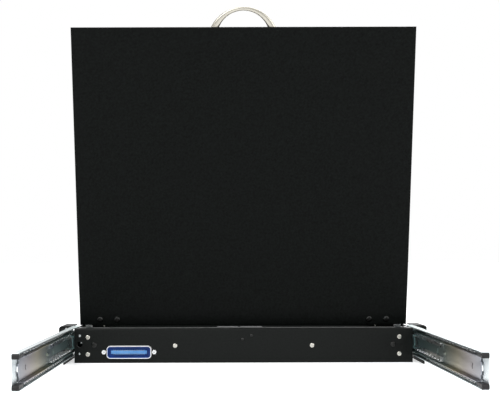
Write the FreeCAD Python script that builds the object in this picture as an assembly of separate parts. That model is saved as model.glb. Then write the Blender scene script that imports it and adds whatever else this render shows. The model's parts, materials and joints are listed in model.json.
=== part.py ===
import FreeCAD, Part
import math
import os
from FreeCAD import Vector

# Rackmount LCD console drawer: a one-unit drawer on ball-bearing telescopic slides, with a keyboard in its
# tray and a hinged lid that holds the screen. Millimetres. X runs across the rack, +Y to the rack's rear,
# +Z up. The origin is the centre of the ears' four rack slots, on the rear face of the ears. The drawer is
# pulled out with its lid open, the pose in which it is used.

# Rack ears
rack_opening = 450.0           # clear width between the rack's posts
ear_reach = 16.3               # of each ear, outside the opening
ear_height = 43.7              # one rack unit less its gap
slot_inset = 7.55              # slots' centres outside the opening
slot_margin = 5.975            # slots' centres from the ear's ends
slot_width = 6.8
slot_length = 11.0
ear_sheet = 1.5
ear_corner = 4.0               # radius of the ears' outer corners
ear_flange_length = 72.0       # flange behind the ear, on which the slide is riveted
hood_depth = 48.5              # the hood stands this far in front of the ear

# Telescopic slides
rail_setback = 18.0            # slide shorter than the tray
rail_height = 36.2
rail_thickness = 9.5
rail_drop = 4.4                # slide's centre line above the origin
rail_front = 1.0               # outer member's front end, behind the ear plane
outer_sheet = 1.2
outer_lip = 1.3                # depth of the outer member's lips
middle_sheet = 1.0
middle_shortfall = 26.0        # intermediate member shorter than the outer one
inner_sheet = 1.2
inner_shortfall = 6.0          # inner member shorter than the outer one
tongue_length = 11.0           # web tongue of the inner member, behind the drawer
outer_ball = 4.0               # ball diameters
inner_ball = 3.2
ball_clearance = 0.05          # each side of a ball
cage_sheet = 0.4
web_gap = 0.8                  # between the outer and the intermediate web
outer_cage_length = 250.0
inner_cage_length = 200.0
ball_pitch = 16.0
middle_overlap = 3.0           # kept in the outer member past its middle at full travel

# Drawer tray
tray_height = 43.6
tray_depth = 424.0
tray_rear = 50.0               # rear panel's outer face, behind the ear plane
tray_sheet = 1.2
bend_radius = 0.8              # inside bends of the tray's sheet
front_wall_height = 24.0
deck_height = 21.0             # deck's top above the tray's underside
bay_depth = 22.0               # cover over the connector bay, front to rear

# Lid
lid_side_gap = 4.0             # lid narrower than the tray, each side
lid_front_gap = 10.4           # closed lid behind the tray's front
lid_thickness = 19.0
lid_sheet = 1.2
lid_open_angle = 102.4         # from closed to the pose modelled here
hinge_setback = 30.7           # hinge axis in front of the rear panel
hinge_drop = 4.0               # hinge axis below the closed lid's top face
hinge_gap = 7.9                # from the hinge axis to the lid's near edge
barrel_radius = 4.0
pin_radius = 2.0
pin_clearance = 0.05
hinge_inset = 11.0             # plane between the two barrels, from the tray's side
barrel_length = 8.0
bezel_thickness = 2.0
screen_side = 40.0             # bezel beside the screen
screen_top = 46.0              # bezel between the screen and the free edge
screen_margin = 56.0           # bezel between the hinge edge and the screen

# Keyboard
key_pitch = 18.6
key_skirt = 17.6               # foot of a one-unit keycap
key_taper = 2.2                # each side, foot to top
key_cap_height = 5.0
key_proud = 2.8                # keycap's top above the deck
key_travel = 2.2
key_stem = 4.0
stem_clearance = 0.2
function_gap = 5.4             # between the function row and the number row
block_gap = 6.0                # between the main block and the navigation block
palm_rest = 35.0               # between the keys and the touchpad

# Ribbon receptacle
connector_inset = 69.5         # receptacle's centre from the tray's side
connector_z = -7.8
connector_width = 55.9
connector_height = 15.8
connector_reach = 7.0          # shell behind the panel
contact_pitch = 2.16
contact_columns = 18
jack_pitch = 63.5

fit_gap = 0.3                  # between neighbouring pieces that don't touch
screw_radius = 1.5
screw_clearance = 0.1
screw_sides = 8                # flats on the plain screws and their holes
hole_sides = 12                # flats on the slides' round holes

# Places worked out from the sizes above
panel_width = rack_opening + 2 * ear_reach
slot_pitch_x = rack_opening + 2 * slot_inset
slot_pitch_z = ear_height - 2 * slot_margin
tray_width = rack_opening - 2 * (ear_sheet + rail_thickness)
rail_length = tray_depth - rail_setback
middle_length = rail_length - middle_shortfall
inner_length = rail_length - inner_shortfall
middle_travel = rail_length / 2 - middle_overlap
tray_half = tray_width / 2
tray_top = tray_height / 2
tray_floor = -tray_top + tray_sheet
tray_front = tray_rear - tray_depth
wall_inner = tray_half - tray_sheet
panel_inner = tray_rear - tray_sheet
deck_top = deck_height - tray_top
deck_under = deck_top - tray_sheet
rail_outer_x = tray_half + rail_thickness
rail_half = rail_height / 2
middle_web = rail_outer_x - outer_sheet - web_gap          # outer face of the intermediate web
middle_race = rail_half - outer_sheet - outer_ball - 2 * ball_clearance
inner_race = middle_race - middle_sheet - inner_ball - 2 * ball_clearance
middle_front = rail_front + 3.0
inner_rear = tray_rear + tongue_length
hinge_y = tray_rear - hinge_setback
hinge_z = tray_top - hinge_drop
lid_rear = hinge_y - hinge_gap
lid_front = tray_front + lid_front_gap
lid_width = tray_width - 2 * lid_side_gap
screen_width = lid_width - 2 * screen_side
hinge_centre_x = tray_half - hinge_inset
connector_x = tray_half - connector_inset
lid_top = tray_top
lid_under = lid_top - lid_thickness
lid_inner_top = lid_top - lid_sheet
bezel_top = lid_under + bezel_thickness


def block(x, y, z):
    """Box between the low and high X, Y and Z."""
    corner = Vector(min(x), min(y), min(z))
    return Part.makeBox(max(x) - min(x), max(y) - min(y), max(z) - min(z), corner)


def rod(start, direction, radius, length):
    """Cylinder from a point along a direction."""
    return Part.makeCylinder(radius, length, Vector(*start), Vector(*direction))


def prism(start, direction, radius, length, sides=screw_sides):
    """Bar with flat sides from a point along a direction."""
    along = Vector(*direction).normalize()
    across = Vector(1, 0, 0) if abs(along.x) < 0.5 else Vector(0, 1, 0)
    up = along.cross(across)
    corners = []
    for step in range(sides + 1):
        turn = (step + 0.5) * 2 * math.pi / sides
        corners.append(Vector(*start) + across * (radius * math.cos(turn)) + up * (radius * math.sin(turn)))
    return Part.Face(Part.makePolygon(corners)).extrude(along * length)


def tapered_block(foot, top):
    """Solid between two four-cornered outlines whose sides are parallel."""
    sides = [[foot[i], foot[(i + 1) % 4], top[(i + 1) % 4], top[i]] for i in range(4)]
    faces = [Part.Face(Part.makePolygon(ring + [ring[0]])) for ring in [foot, top] + sides]
    solid = Part.Solid(Part.Shell(faces))
    if solid.Volume < 0:
        solid.reverse()
    return solid


def rounded_wire(points, radius):
    """Open wire through the points, with each corner rounded."""
    edges = []
    last = points[0]
    for before, corner, after in zip(points, points[1:], points[2:]):
        to_before = (before - corner).normalize()
        to_after = (after - corner).normalize()
        half_turn = (math.pi - to_before.getAngle(to_after)) / 2
        reach = radius * math.tan(half_turn)
        start = corner + to_before * reach
        end = corner + to_after * reach
        bisector = (to_before + to_after).normalize()
        middle = corner + bisector * (radius / math.cos(half_turn) - radius)
        edges.append(Part.LineSegment(last, start).toShape())
        edges.append(Part.Arc(start, middle, end).toShape())
        last = end
    edges.append(Part.LineSegment(last, points[-1]).toShape())
    return Part.Wire(edges)


def folded_sheet(points, radius, thickness, run):
    """Sheet bent along the points, which lie on its inner face, and drawn out along run."""
    inner = rounded_wire(points, radius)
    outer = rounded_wire(offset_points(points, thickness), radius + thickness)
    caps = [Part.LineSegment(inner.OrderedVertexes[i].Point, outer.OrderedVertexes[i].Point).toShape()
            for i in (0, -1)]
    return Part.Face(Part.Wire(Part.__sortEdges__(inner.Edges + outer.Edges + caps))).extrude(run)


def offset_points(points, distance):
    """Points moved to the outer side of the turns, by the distance from each run."""
    first_turn = (points[1] - points[0]).cross(points[2] - points[1])
    normals = []
    for a, b in zip(points, points[1:]):
        normals.append((b - a).cross(first_turn).normalize())
    moved = [points[0] + normals[0] * distance]
    for corner, n1, n2 in zip(points[1:], normals, normals[1:]):
        moved.append(corner + (n1 + n2) * (distance / (1 + n1.dot(n2))))
    moved.append(points[-1] + normals[-1] * distance)
    return moved


def slot_cutter(centre, length, width, along, through, depth):
    """Round-ended slot, along one direction and cut through along another."""
    along = Vector(*along)
    through = Vector(*through)
    centre = Vector(*centre) - through * (depth / 2)
    side = through.cross(along)
    reach = along * ((length - width) / 2)
    radius = side * (width / 2)
    tip = along * (length / 2)
    edges = [
        Part.LineSegment(centre - reach + radius, centre + reach + radius).toShape(),
        Part.Arc(centre + reach + radius, centre + tip, centre + reach - radius).toShape(),
        Part.LineSegment(centre + reach - radius, centre - reach - radius).toShape(),
        Part.Arc(centre - reach - radius, centre - tip, centre - reach + radius).toShape(),
    ]
    return Part.Face(Part.Wire(edges)).extrude(through * depth)


def flat_slot(centre, length, width, along, depth):
    """Slot through a web that stands across X, with chamfered ends."""
    half = length / 2
    side = width / 2
    steps = ((half, side * 0.42), (half - side * 0.58, side), (side * 0.58 - half, side), (-half, side * 0.42),
             (-half, side * -0.42), (side * 0.58 - half, -side), (half - side * 0.58, -side), (half, side * -0.42))
    run = Vector(*along)
    across = Vector(1, 0, 0).cross(run)
    corners = [Vector(*centre) - Vector(depth / 2, 0, 0) + run * a + across * b for a, b in steps]
    return Part.Face(Part.makePolygon(corners + [corners[0]])).extrude(Vector(depth, 0, 0))


def other_side(shape):
    """The same piece for the other side of the drawer."""
    return shape.mirror(Vector(0, 0, 0), Vector(1, 0, 0))


def opened(shape):
    """Lid piece modelled closed, turned to the open pose."""
    turned = shape.copy()
    turned.rotate(Vector(0, hinge_y, hinge_z), Vector(1, 0, 0), -lid_open_angle)
    return turned


def save(name, *shapes):
    """Write one node."""
    solids = [solid for shape in shapes for solid in shape.Solids]
    shape = solids[0] if len(solids) == 1 else Part.makeCompound(solids)
    shape.exportStep("parts/" + name + ".step")


def save_pair(name, shape):
    """Write a piece for the right side (+X) and its mirror image for the left."""
    save("right_" + name, shape)
    save("left_" + name, other_side(shape))


def pan_screw(seat, direction, head_radius, head_height, length):
    """Pan-head screw: seat is under the head and direction points out of the head."""
    out = Vector(*direction)
    head = prism(seat, out, head_radius, head_height)
    top = head_height * 0.9
    rim = [edge for edge in head.Edges if (edge.CenterOfMass - Vector(*seat)).dot(out) > top]
    head = head.makeChamfer(head_height * 0.5, rim)
    shank = prism(seat, out * -1, screw_radius, length)
    return head.fuse(shank).removeSplitter()


# ---- Rack ears ----

def ear_bracket():
    """Ear plate with its two slots, and the flange behind it that carries the slide."""
    post = rack_opening / 2
    inner_face = [Vector(post, ear_flange_length, -ear_height / 2), Vector(post, 0, -ear_height / 2),
                  Vector(panel_width / 2, 0, -ear_height / 2)]
    bracket = folded_sheet(inner_face, 0.5, ear_sheet, Vector(0, 0, ear_height))
    corners = [edge for edge in bracket.Edges
               if abs(edge.CenterOfMass.x - panel_width / 2) < 0.01 and abs(edge.CenterOfMass.y + ear_sheet / 2) < 0.01]
    bracket = bracket.makeFillet(ear_corner, corners)
    for side in (-1, 1):
        centre = (slot_pitch_x / 2, -ear_sheet / 2, side * slot_pitch_z / 2)
        bracket = bracket.cut(slot_cutter(centre, slot_length, slot_width, (1, 0, 0), (0, 1, 0), 3 * ear_sheet))
    for seat in rivet_seats():
        bracket = bracket.cut(prism((post - 2 * ear_sheet, seat[0], seat[1]), (1, 0, 0), rivet_radius, 3 * ear_sheet))
    return bracket


def ear_hood():
    """Cover round the ear's front, open to the front so that the rack screws can be reached."""
    inner_x = panel_width / 2 - ear_sheet
    inner_z = ear_height / 2 - ear_sheet
    start_x = rack_opening / 2 - ear_sheet + fit_gap
    inner_face = [Vector(start_x, -ear_sheet, inner_z), Vector(inner_x, -ear_sheet, inner_z),
                  Vector(inner_x, -ear_sheet, -inner_z), Vector(start_x, -ear_sheet, -inner_z)]
    return folded_sheet(inner_face, ear_corner - ear_sheet, ear_sheet, Vector(0, -hood_depth, 0))


rivet_radius = 2.0
rivet_margin = 14.0


def rivet_seats():
    """Y and Z of the rivets that join the slide to the ear's flange."""
    return [(rivet_margin + ear_sheet, rail_drop), (ear_flange_length - rivet_margin, rail_drop)]


def rail_rivets():
    """Rivets for one side, flush on both faces."""
    web_inner = rail_outer_x - outer_sheet
    return [prism((web_inner, y, z), (1, 0, 0), rivet_radius, rack_opening / 2 - web_inner) for y, z in rivet_seats()]


# ---- Telescopic slide, right side ----

def channel(web, lip_tip, half, radius, sheet, front, length, lip=0.0):
    """C-channel along Y: web is the inner face of its web, lip_tip the free end of its flanges."""
    def at(x, z):
        return Vector(x, front, rail_drop + z)
    points = [at(lip_tip, -half), at(web, -half), at(web, half), at(lip_tip, half)]
    if lip:
        points = [at(lip_tip, -half + lip)] + points + [at(lip_tip, half - lip)]
    return folded_sheet(points, radius, sheet, Vector(0, length, 0))


def outer_rail():
    """Outer member, riveted to the ear's flange, with lips that keep the balls in."""
    lip_face = tray_half + 0.7 + outer_sheet
    rail = channel(rail_outer_x - outer_sheet, lip_face, rail_half - outer_sheet, 0.9, outer_sheet,
                   rail_front, rail_length, outer_lip)
    for y, z in rivet_seats():
        rail = rail.cut(prism((rail_outer_x - 2 * outer_sheet, y, z), (1, 0, 0), rivet_radius, 3 * outer_sheet))
    for y in (rail_front + rail_length - 30, rail_front + rail_length - 76, rail_front + rail_length / 2):
        centre = (rail_outer_x - outer_sheet / 2, y, rail_drop)
        rail = rail.cut(flat_slot(centre, 14.0, 5.4, (0, 1, 0), 3 * outer_sheet))
    return rail


latch_share = 0.44   # of the intermediate member's length, from its rear end


def middle_rail():
    """Intermediate member: web with a round hole, a lanced latch and a second hole, and notched rear corners."""
    web_inner = middle_web - middle_sheet
    rail = channel(web_inner, tray_half + 1.2, middle_race - middle_sheet, 0.9, middle_sheet,
                   middle_front, middle_length)
    rear = middle_front + middle_length
    for share, radius in ((0.097, 3.0), (0.542, 3.6), (0.868, 2.4)):
        rail = rail.cut(prism((web_inner - 1, rear - share * middle_length, rail_drop - 1), (1, 0, 0), radius,
                              middle_sheet + 2, hole_sides))
    latch_y = rear - latch_share * middle_length
    for side in (-1, 1):
        slot = flat_slot((middle_web - middle_sheet / 2, latch_y + 5, rail_drop + side * 4.2), 7.0, 2.0,
                         (0, 0, 1), 3 * middle_sheet)
        notch = block((web_inner - 1, middle_web + 1), (rear - 3.5, rear + 1),
                      (rail_drop + side * (middle_race - 6.4), rail_drop + side * (middle_race - 2.6)))
        rail = rail.cut(slot).cut(notch)
    latch = block((web_inner - 1.6, web_inner + 0.2), (latch_y - 5, latch_y + 6), (rail_drop - 1.6, rail_drop + 1.6))
    return rail.fuse(latch.makeChamfer(0.7, [e for e in latch.Edges if e.CenterOfMass.x < web_inner - 1.5]))


def inner_rail():
    """Inner member on the tray's side, with a tongue of its web behind the rear panel."""
    rail = channel(tray_half + inner_sheet, tray_half + 5.6, inner_race - inner_sheet, 0.6, inner_sheet,
                   inner_rear - inner_length, inner_length)
    tongue_half = 5.6
    for side in (-1, 1):
        rail = rail.cut(block((tray_half - 1, rail_outer_x), (tray_rear + 1, inner_rear + 1),
                              (rail_drop + side * tongue_half, rail_drop + side * rail_half)))
    for y in rail_screw_places():
        rail = rail.cut(prism((tray_half - 1, y, rail_drop), (1, 0, 0), screw_radius + screw_clearance, 3 * inner_sheet))
    return rail


rail_screw_margin = 34.0
rail_head_radius = 2.9
rail_head_height = 1.3


def rail_screw_places():
    """Y of the screws that hold the inner member to the tray."""
    first = inner_rear - tongue_length - rail_screw_margin
    pitch = (inner_length - tongue_length - 3 * rail_screw_margin) / 2
    return [first - step * pitch for step in range(3)]


def rail_screws():
    """Screws for one side, with flat heads inside the slide."""
    screws = []
    for y in rail_screw_places():
        screws.append(pan_screw((tray_half + inner_sheet, y, rail_drop), (1, 0, 0), rail_head_radius, rail_head_height,
                                inner_sheet + 2.5 * tray_sheet))
    return screws


def cage(web_face, flange_tip, race_low, race_high, front, length):
    """Ball retainer: thin channel midway between two raceways, with a window at each ball."""
    middle = (race_low + race_high) / 2 - cage_sheet / 2
    outer = (web_face - flange_tip, middle + cage_sheet)
    inner = (outer[0] - cage_sheet, middle)
    run = (front, front + length)
    body = block((flange_tip, flange_tip + outer[0]), run, (rail_drop - outer[1], rail_drop + outer[1]))
    return body.cut(block((flange_tip - 1, flange_tip + inner[0]), (front - 1, run[1] + 1),
                          (rail_drop - inner[1], rail_drop + inner[1])))


def plain_ball(centre, radius):
    """Ball with few flat faces: eight sides between two smaller ends."""
    waist = radius * math.sqrt(0.5)
    reach = radius * 0.99
    rings = []
    for height, size in ((-waist, waist), (0.0, reach), (waist, waist)):
        rings.append([centre + Vector(x * size, y * size, height) for x, y in ((1, 0), (0, 1), (-1, 0), (0, -1))])
    lower = tapered_block(rings[0], rings[1])
    return lower.fuse(tapered_block(rings[1], rings[2])).Solids[0]


def window(ball, diameter):
    """Opening in a retainer round one ball."""
    half = diameter / 2 + fit_gap / 3
    c = ball.CenterOfMass
    return block((c.x - half, c.x + half), (c.y - half, c.y + half), (c.z - half, c.z + half))


def balls(x, race_low, race_high, diameter, front, length):
    """Two rows of balls in a cage that starts at front."""
    count = int((length - ball_pitch / 2) // ball_pitch) + 1
    margin = (length - (count - 1) * ball_pitch) / 2
    row_z = (race_low + race_high) / 2
    spheres = []
    for side in (-1, 1):
        for index in range(count):
            centre = Vector(x, front + margin + index * ball_pitch, rail_drop + side * row_z)
            spheres.append(plain_ball(centre, diameter / 2))
    return spheres


outer_cage_front = middle_front + middle_travel / 2 + 20.0
inner_cage_front = middle_front + 5.0
outer_ball_x = middle_web - 3.0
inner_ball_x = middle_web - middle_sheet - 2.2
inner_cage_window = 5.0


def outer_cage_and_balls():
    """Retainer and balls between the outer and the intermediate member."""
    low = middle_race
    high = rail_half - outer_sheet
    race_balls = balls(outer_ball_x, low, high, outer_ball, outer_cage_front, outer_cage_length)
    retainer = cage(rail_outer_x - outer_sheet - 0.2, tray_half + 2.6, low, high, outer_cage_front, outer_cage_length)
    for ball in race_balls:
        retainer = retainer.cut(window(ball, outer_ball))
    return retainer, race_balls


def inner_cage_and_balls():
    """Retainer strips, one for each row, and balls between the intermediate and the inner member."""
    low = inner_race
    high = middle_race - middle_sheet
    race_balls = balls(inner_ball_x, low, high, inner_ball, inner_cage_front, inner_cage_length)
    retainer = cage(middle_web - middle_sheet - 0.2, tray_half + 2.2, low, high, inner_cage_front, inner_cage_length)
    retainer = retainer.cut(block((tray_half, rail_outer_x), (inner_cage_front - 1, inner_cage_front + inner_cage_length + 1),
                                  (rail_drop - inner_cage_window, rail_drop + inner_cage_window)))
    for ball in race_balls:
        retainer = retainer.cut(window(ball, inner_ball))
    return retainer, race_balls


bumper_head = 2.6    # half the height of a stop's head


def bumpers():
    """End stops for one side: a plug in each raceway with a rounded head behind the rail's end."""
    rear = rail_front + rail_length
    stop = middle_front + middle_length + fit_gap
    plugs = []
    low_x = tray_half + 0.7 + outer_sheet
    high_x = rail_outer_x - outer_sheet
    for side in (-1, 1):
        low = rail_drop + side * (middle_race - 0.4)
        high = rail_drop + side * (rail_half - outer_sheet)
        plug = block((low_x, high_x), (stop, rear + 0.2), (low, high))
        corners = [e for e in plug.Edges if e.Length > rear - stop and abs(e.CenterOfMass.z - high) < 0.01]
        plug = plug.makeChamfer(1.0, corners)
        middle = (low + high) / 2
        head = block((low_x - 0.6, high_x), (rear + 0.2, rear + 2.8), (middle - bumper_head, middle + bumper_head))
        nose = [e for e in head.Edges if e.CenterOfMass.y > rear + 2.7 and abs(e.CenterOfMass.z - middle) > 1]
        plugs.append(plug.fuse(head.makeChamfer(1.4, nose)).removeSplitter())
    return plugs


# ---- Drawer ----

rear_screw_x = tray_half - 17.0
rear_screw_z = 10.7
board_screw_x = tray_half - 127.4
black_screw_x = tray_half - 25.0
black_screw_z = 1.0
rear_head_radius = 3.0
rear_head_height = 1.6
black_head_radius = 3.6
small_head_radius = 2.2
panel_holes = ((6.6, 12.6, 1.7), (5.8, -10.2, 1.7), (6.7, 1.8, 3.6))   # from the side, height, radius


def tray_pan():
    """Folded tray: floor, two full-height sides and a low front wall."""
    low = tray_floor
    inner_face = [Vector(-wall_inner, tray_front, tray_top), Vector(-wall_inner, tray_front, low),
                  Vector(wall_inner, tray_front, low), Vector(wall_inner, tray_front, tray_top)]
    pan = folded_sheet(inner_face, bend_radius, tray_sheet, Vector(0, tray_depth - tray_sheet, 0))
    wall_top = -tray_top + front_wall_height
    front = block((-wall_inner, wall_inner), (tray_front, tray_front + tray_sheet), (low, wall_top))
    nose = Part.Face(Part.makePolygon([
        Vector(-tray_half, tray_front, wall_top), Vector(-tray_half, tray_front, tray_top),
        Vector(-tray_half, tray_front + 14, tray_top), Vector(-tray_half, tray_front, wall_top)]))
    pan = pan.fuse(front).removeSplitter().cut(nose.extrude(Vector(tray_width, 0, 0)))
    for y in rail_screw_places():
        for side in (-1, 1):
            pan = pan.cut(prism((side * (wall_inner - 1), y, rail_drop), (side, 0, 0),
                                screw_radius + screw_clearance, 3 * tray_sheet))
    return pan


def rear_panel_screws():
    """X and Z of the screws in the rear panel: zinc ones, then black ones."""
    zinc = [(side * rear_screw_x, height) for side in (-1, 1) for height in (-rear_screw_z, rear_screw_z)]
    zinc += [(side * board_screw_x, 0.0) for side in (-1, 1)]
    black = [(side * black_screw_x, black_screw_z) for side in (-1, 1)] + [(1.4, 7.9), (-10.0, 12.8)]
    return zinc, black


def connector_outline(width, height, radius, y, length):
    """Rounded block of the receptacle's outline, from y towards the rear."""
    body = block((connector_x - width / 2, connector_x + width / 2), (y, y + length),
                 (connector_z - height / 2, connector_z + height / 2))
    return body.makeFillet(radius, [e for e in body.Edges if abs(e.Length - length) < 1e-6])


def rear_panel():
    """Rear wall with the cover over the connector bay, and side flanges inside the tray's walls."""
    top = tray_top - tray_sheet
    inner_face = [Vector(-tray_half, tray_rear - bay_depth, top), Vector(-tray_half, panel_inner, top),
                  Vector(-tray_half, panel_inner, -tray_top)]
    panel = folded_sheet(inner_face, bend_radius, tray_sheet, Vector(tray_width, 0, 0))
    for side in (-1, 1):
        panel = panel.cut(block((side * wall_inner - side * fit_gap, side * (tray_half + 1)),
                                (tray_rear - bay_depth - 1, panel_inner), (0, tray_top + 1)))
        flange = block((side * (wall_inner - tray_sheet), side * wall_inner), (panel_inner - 10, panel_inner),
                       (tray_floor + bend_radius + fit_gap, top - bend_radius))
        panel = panel.fuse(flange)
    panel = panel.removeSplitter()
    zinc, black = rear_panel_screws()
    for x, z in zinc + black:
        panel = panel.cut(prism((x, panel_inner - 1, z), (0, 1, 0), screw_radius + screw_clearance, 3 * tray_sheet))
    for inset, z, radius in panel_holes:
        panel = panel.cut(prism((tray_half - inset, panel_inner - 11, z), (0, 1, 0), radius, 15.0, hole_sides))
    for side in (-1, 1):
        panel = panel.cut(prism((connector_x + side * jack_pitch / 2, panel_inner - 1, connector_z), (0, 1, 0),
                                screw_radius + screw_clearance, 3 * tray_sheet))
    cutout = connector_outline(connector_width + 2 * fit_gap, connector_height + 2 * fit_gap, 4.5 + fit_gap,
                               panel_inner - 1, 4.0)
    return panel.cut(cutout)


shell_wall = 0.8
insert_wall = 0.5
insert_floor = tray_rear + 0.2
tongue_height = 4.2
tongue_width = 45.0


flange_margin = 5.25


def connector_shell():
    """Metal shell of the receptacle, with its flange behind the panel."""
    flange_front = panel_inner - 1.0
    outer = connector_outline(connector_width, connector_height, 4.5, flange_front,
                              tray_rear + connector_reach - flange_front)
    inner = connector_outline(connector_width - 2 * shell_wall, connector_height - 2 * shell_wall,
                              4.5 - shell_wall, flange_front - 1, 20.0)
    half = jack_pitch / 2 + flange_margin
    flange = block((connector_x - half, connector_x + half), (flange_front, panel_inner),
                   (connector_z - connector_height / 2, connector_z + connector_height / 2))
    for side in (-1, 1):
        flange = flange.cut(prism((connector_x + side * jack_pitch / 2, flange_front - 1, connector_z), (0, 1, 0),
                                  screw_radius + screw_clearance, 3.0))
    return outer.fuse(flange).removeSplitter().cut(inner)


def connector_insert():
    """Insulator: a trough round a central tongue."""
    width = connector_width - 2 * shell_wall
    height = connector_height - 2 * shell_wall
    back = panel_inner - 9.0
    mouth = tray_rear + connector_reach - 0.6
    body = connector_outline(width, height, 4.5 - shell_wall, back, mouth - back)
    hollow = connector_outline(width - 2 * insert_wall, height - 2 * insert_wall, 4.5 - shell_wall - insert_wall,
                               insert_floor, 20.0)
    tongue = block((connector_x - tongue_width / 2, connector_x + tongue_width / 2), (insert_floor, mouth - 0.4),
                   (connector_z - tongue_height / 2, connector_z + tongue_height / 2))
    tip = [e for e in tongue.Edges if e.CenterOfMass.y > mouth - 0.5 and e.Length > tongue_height + 1]
    return body.cut(hollow).fuse(tongue.makeChamfer(0.7, tip))


def connector_contacts():
    """Contact strips on both faces of the tongue."""
    contacts = []
    thickness = 0.2
    for column in range(contact_columns):
        x = connector_x + (column - (contact_columns - 1) / 2) * contact_pitch
        for side in (-1, 1):
            face = connector_z + side * tongue_height / 2
            contacts.append(block((x - 0.55, x + 0.55), (insert_floor, insert_floor + 4.6),
                                  (face, face + side * thickness)))
    return contacts


def jackscrews():
    """Hexagonal threaded posts beside the receptacle."""
    posts = []
    across = 5.0
    reach = 5.0
    for side in (-1, 1):
        centre = Vector(connector_x + side * jack_pitch / 2, tray_rear, connector_z)
        corners = [centre + Vector(math.cos(math.radians(60 * i)), 0, math.sin(math.radians(60 * i)))
                   * (across / math.sqrt(3)) for i in range(7)]
        post = Part.Face(Part.makePolygon(corners)).extrude(Vector(0, reach, 0))
        post = post.fuse(prism(centre, (0, -1, 0), screw_radius, tray_sheet + 4.0))
        posts.append(post.cut(rod(centre + Vector(0, 0.5, 0), (0, 1, 0), 1.25, reach)))
    return posts


board_sheet = 1.6
board_half = jack_pitch / 2 + 18.25
board_post = 2.5     # radius of the boards' posts


def interface_board():
    """Circuit board under the receptacle, on two posts from the tray's floor."""
    top = connector_z - connector_height / 2 + shell_wall
    rear = panel_inner - 2.0
    board = block((connector_x - board_half, connector_x + board_half), (rear - 17, rear), (top - board_sheet, top))
    for side in (-1, 1):
        board = board.fuse(prism((connector_x + side * 0.88 * board_half, rear - 12, tray_floor), (0, 0, 1),
                                 board_post, top - board_sheet - tray_floor))
    for start, end in ((-0.76, -0.52), (-0.32, -0.14), (0.12, 0.44), (0.64, 0.84)):
        board = board.fuse(block((connector_x + start * board_half, connector_x + end * board_half),
                                 (rear - 16.5, rear - 9.5), (top, top + 2.2)))
    return board


def rear_screws(places, head_radius):
    """Pan-head screws in the rear panel."""
    screws = []
    for x, z in places:
        screws.append(pan_screw((x, tray_rear, z), (0, 1, 0), head_radius, rear_head_height, tray_sheet + 2.4))
    return screws


base_plate = 2.0


def hinge_base():
    """Fixed half of a hinge: plate on the rear panel, web and barrel."""
    plate_front = panel_inner - base_plate
    web_x = hinge_centre_x + fit_gap
    plate = block((hinge_centre_x - 17, hinge_centre_x + 5.5), (plate_front, panel_inner), (-15.0, 15.5))
    for height in (-rear_screw_z, rear_screw_z):
        plate = plate.cut(prism((rear_screw_x, plate_front - 1, height), (0, 1, 0), screw_radius + screw_clearance, 4.0))
    plate = plate.cut(prism((black_screw_x, plate_front - 1, black_screw_z), (0, 1, 0), screw_radius + screw_clearance, 4.0))
    inset, height, radius = panel_holes[2]
    plate = plate.cut(prism((tray_half - inset, plate_front - 1, height), (0, 1, 0), radius + 1, 4.0, hole_sides))
    low_z = 3.0
    web = Part.Face(Part.makePolygon([
        Vector(web_x, plate_front, 15.5), Vector(web_x, plate_front, low_z),
        Vector(web_x, hinge_y + 6, low_z + 2), Vector(web_x, hinge_y - barrel_radius * 0.8, hinge_z - 2.4),
        Vector(web_x, hinge_y, hinge_z + 1), Vector(web_x, hinge_y + 8, hinge_z + 1),
        Vector(web_x, plate_front, 15.5)])).extrude(Vector(3.0, 0, 0))
    barrel = rod((web_x, hinge_y, hinge_z), (1, 0, 0), barrel_radius, barrel_length)
    bore = rod((web_x - 1, hinge_y, hinge_z), (1, 0, 0), pin_radius + pin_clearance, barrel_length + 2)
    return plate.fuse([web, barrel]).removeSplitter().cut(bore)


# ---- Keyboard ----

key_top = deck_top + key_proud
key_foot = key_top - key_cap_height
base_top = key_foot - key_travel - 0.4
base_under = base_top - 2.4
stem_foot = base_top - 1.8
main_width = 15 * key_pitch
block_width = main_width + block_gap + 3 * key_pitch
main_left = -block_width / 2
navigation_left = main_left + main_width + block_gap
key_block_depth = 6 * key_pitch + function_gap
pad_width = 76.0
pad_depth = 50.0
pad_y = tray_front + 87.0
pad_button_width = 36.0
pad_button_depth = 11.0
pad_rim = 4.0
pad_button_y = pad_y - pad_depth / 2 - pad_rim - 7.5
keyboard_rear = pad_y + pad_depth / 2 + palm_rest + key_block_depth


def row_y(row):
    """Centre of a key row: row 0 is the function row, at the rear."""
    drop = function_gap if row else 0.0
    return keyboard_rear - drop - (row + 0.5) * key_pitch


def key_row(left, row, units):
    """Key centres and widths of a row from its left end: a negative width is a gap."""
    places = []
    x = left
    for unit in units:
        if unit > 0:
            places.append((x + unit * key_pitch / 2, row_y(row), unit))
        x += abs(unit) * key_pitch
    return places


key_rows = {
    "function_keys": key_row(main_left, 0, [1, -1, 1, 1, 1, 1, -0.5, 1, 1, 1, 1, -0.5, 1, 1, 1, 1]),
    "number_keys": key_row(main_left, 1, [1] * 13 + [2]),
    "upper_letter_keys": key_row(main_left, 2, [1.5] + [1] * 12 + [1.5]),
    "home_letter_keys": key_row(main_left, 3, [1.75] + [1] * 11 + [2.25]),
    "lower_letter_keys": key_row(main_left, 4, [2.25] + [1] * 10 + [2.75]),
    "bottom_keys": key_row(main_left, 5, [1.25, 1.25, 1.25, -6.25, 1.25, 1.25, 1.25, 1.25]),
    "space_bar": key_row(main_left, 5, [-3.75, 6.25]),
    "navigation_keys": sum([key_row(navigation_left, row, [1, 1, 1]) for row in range(3)], []),
    "arrow_keys": key_row(navigation_left, 4, [-1, 1]) + key_row(navigation_left, 5, [1, 1, 1]),
}


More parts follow.
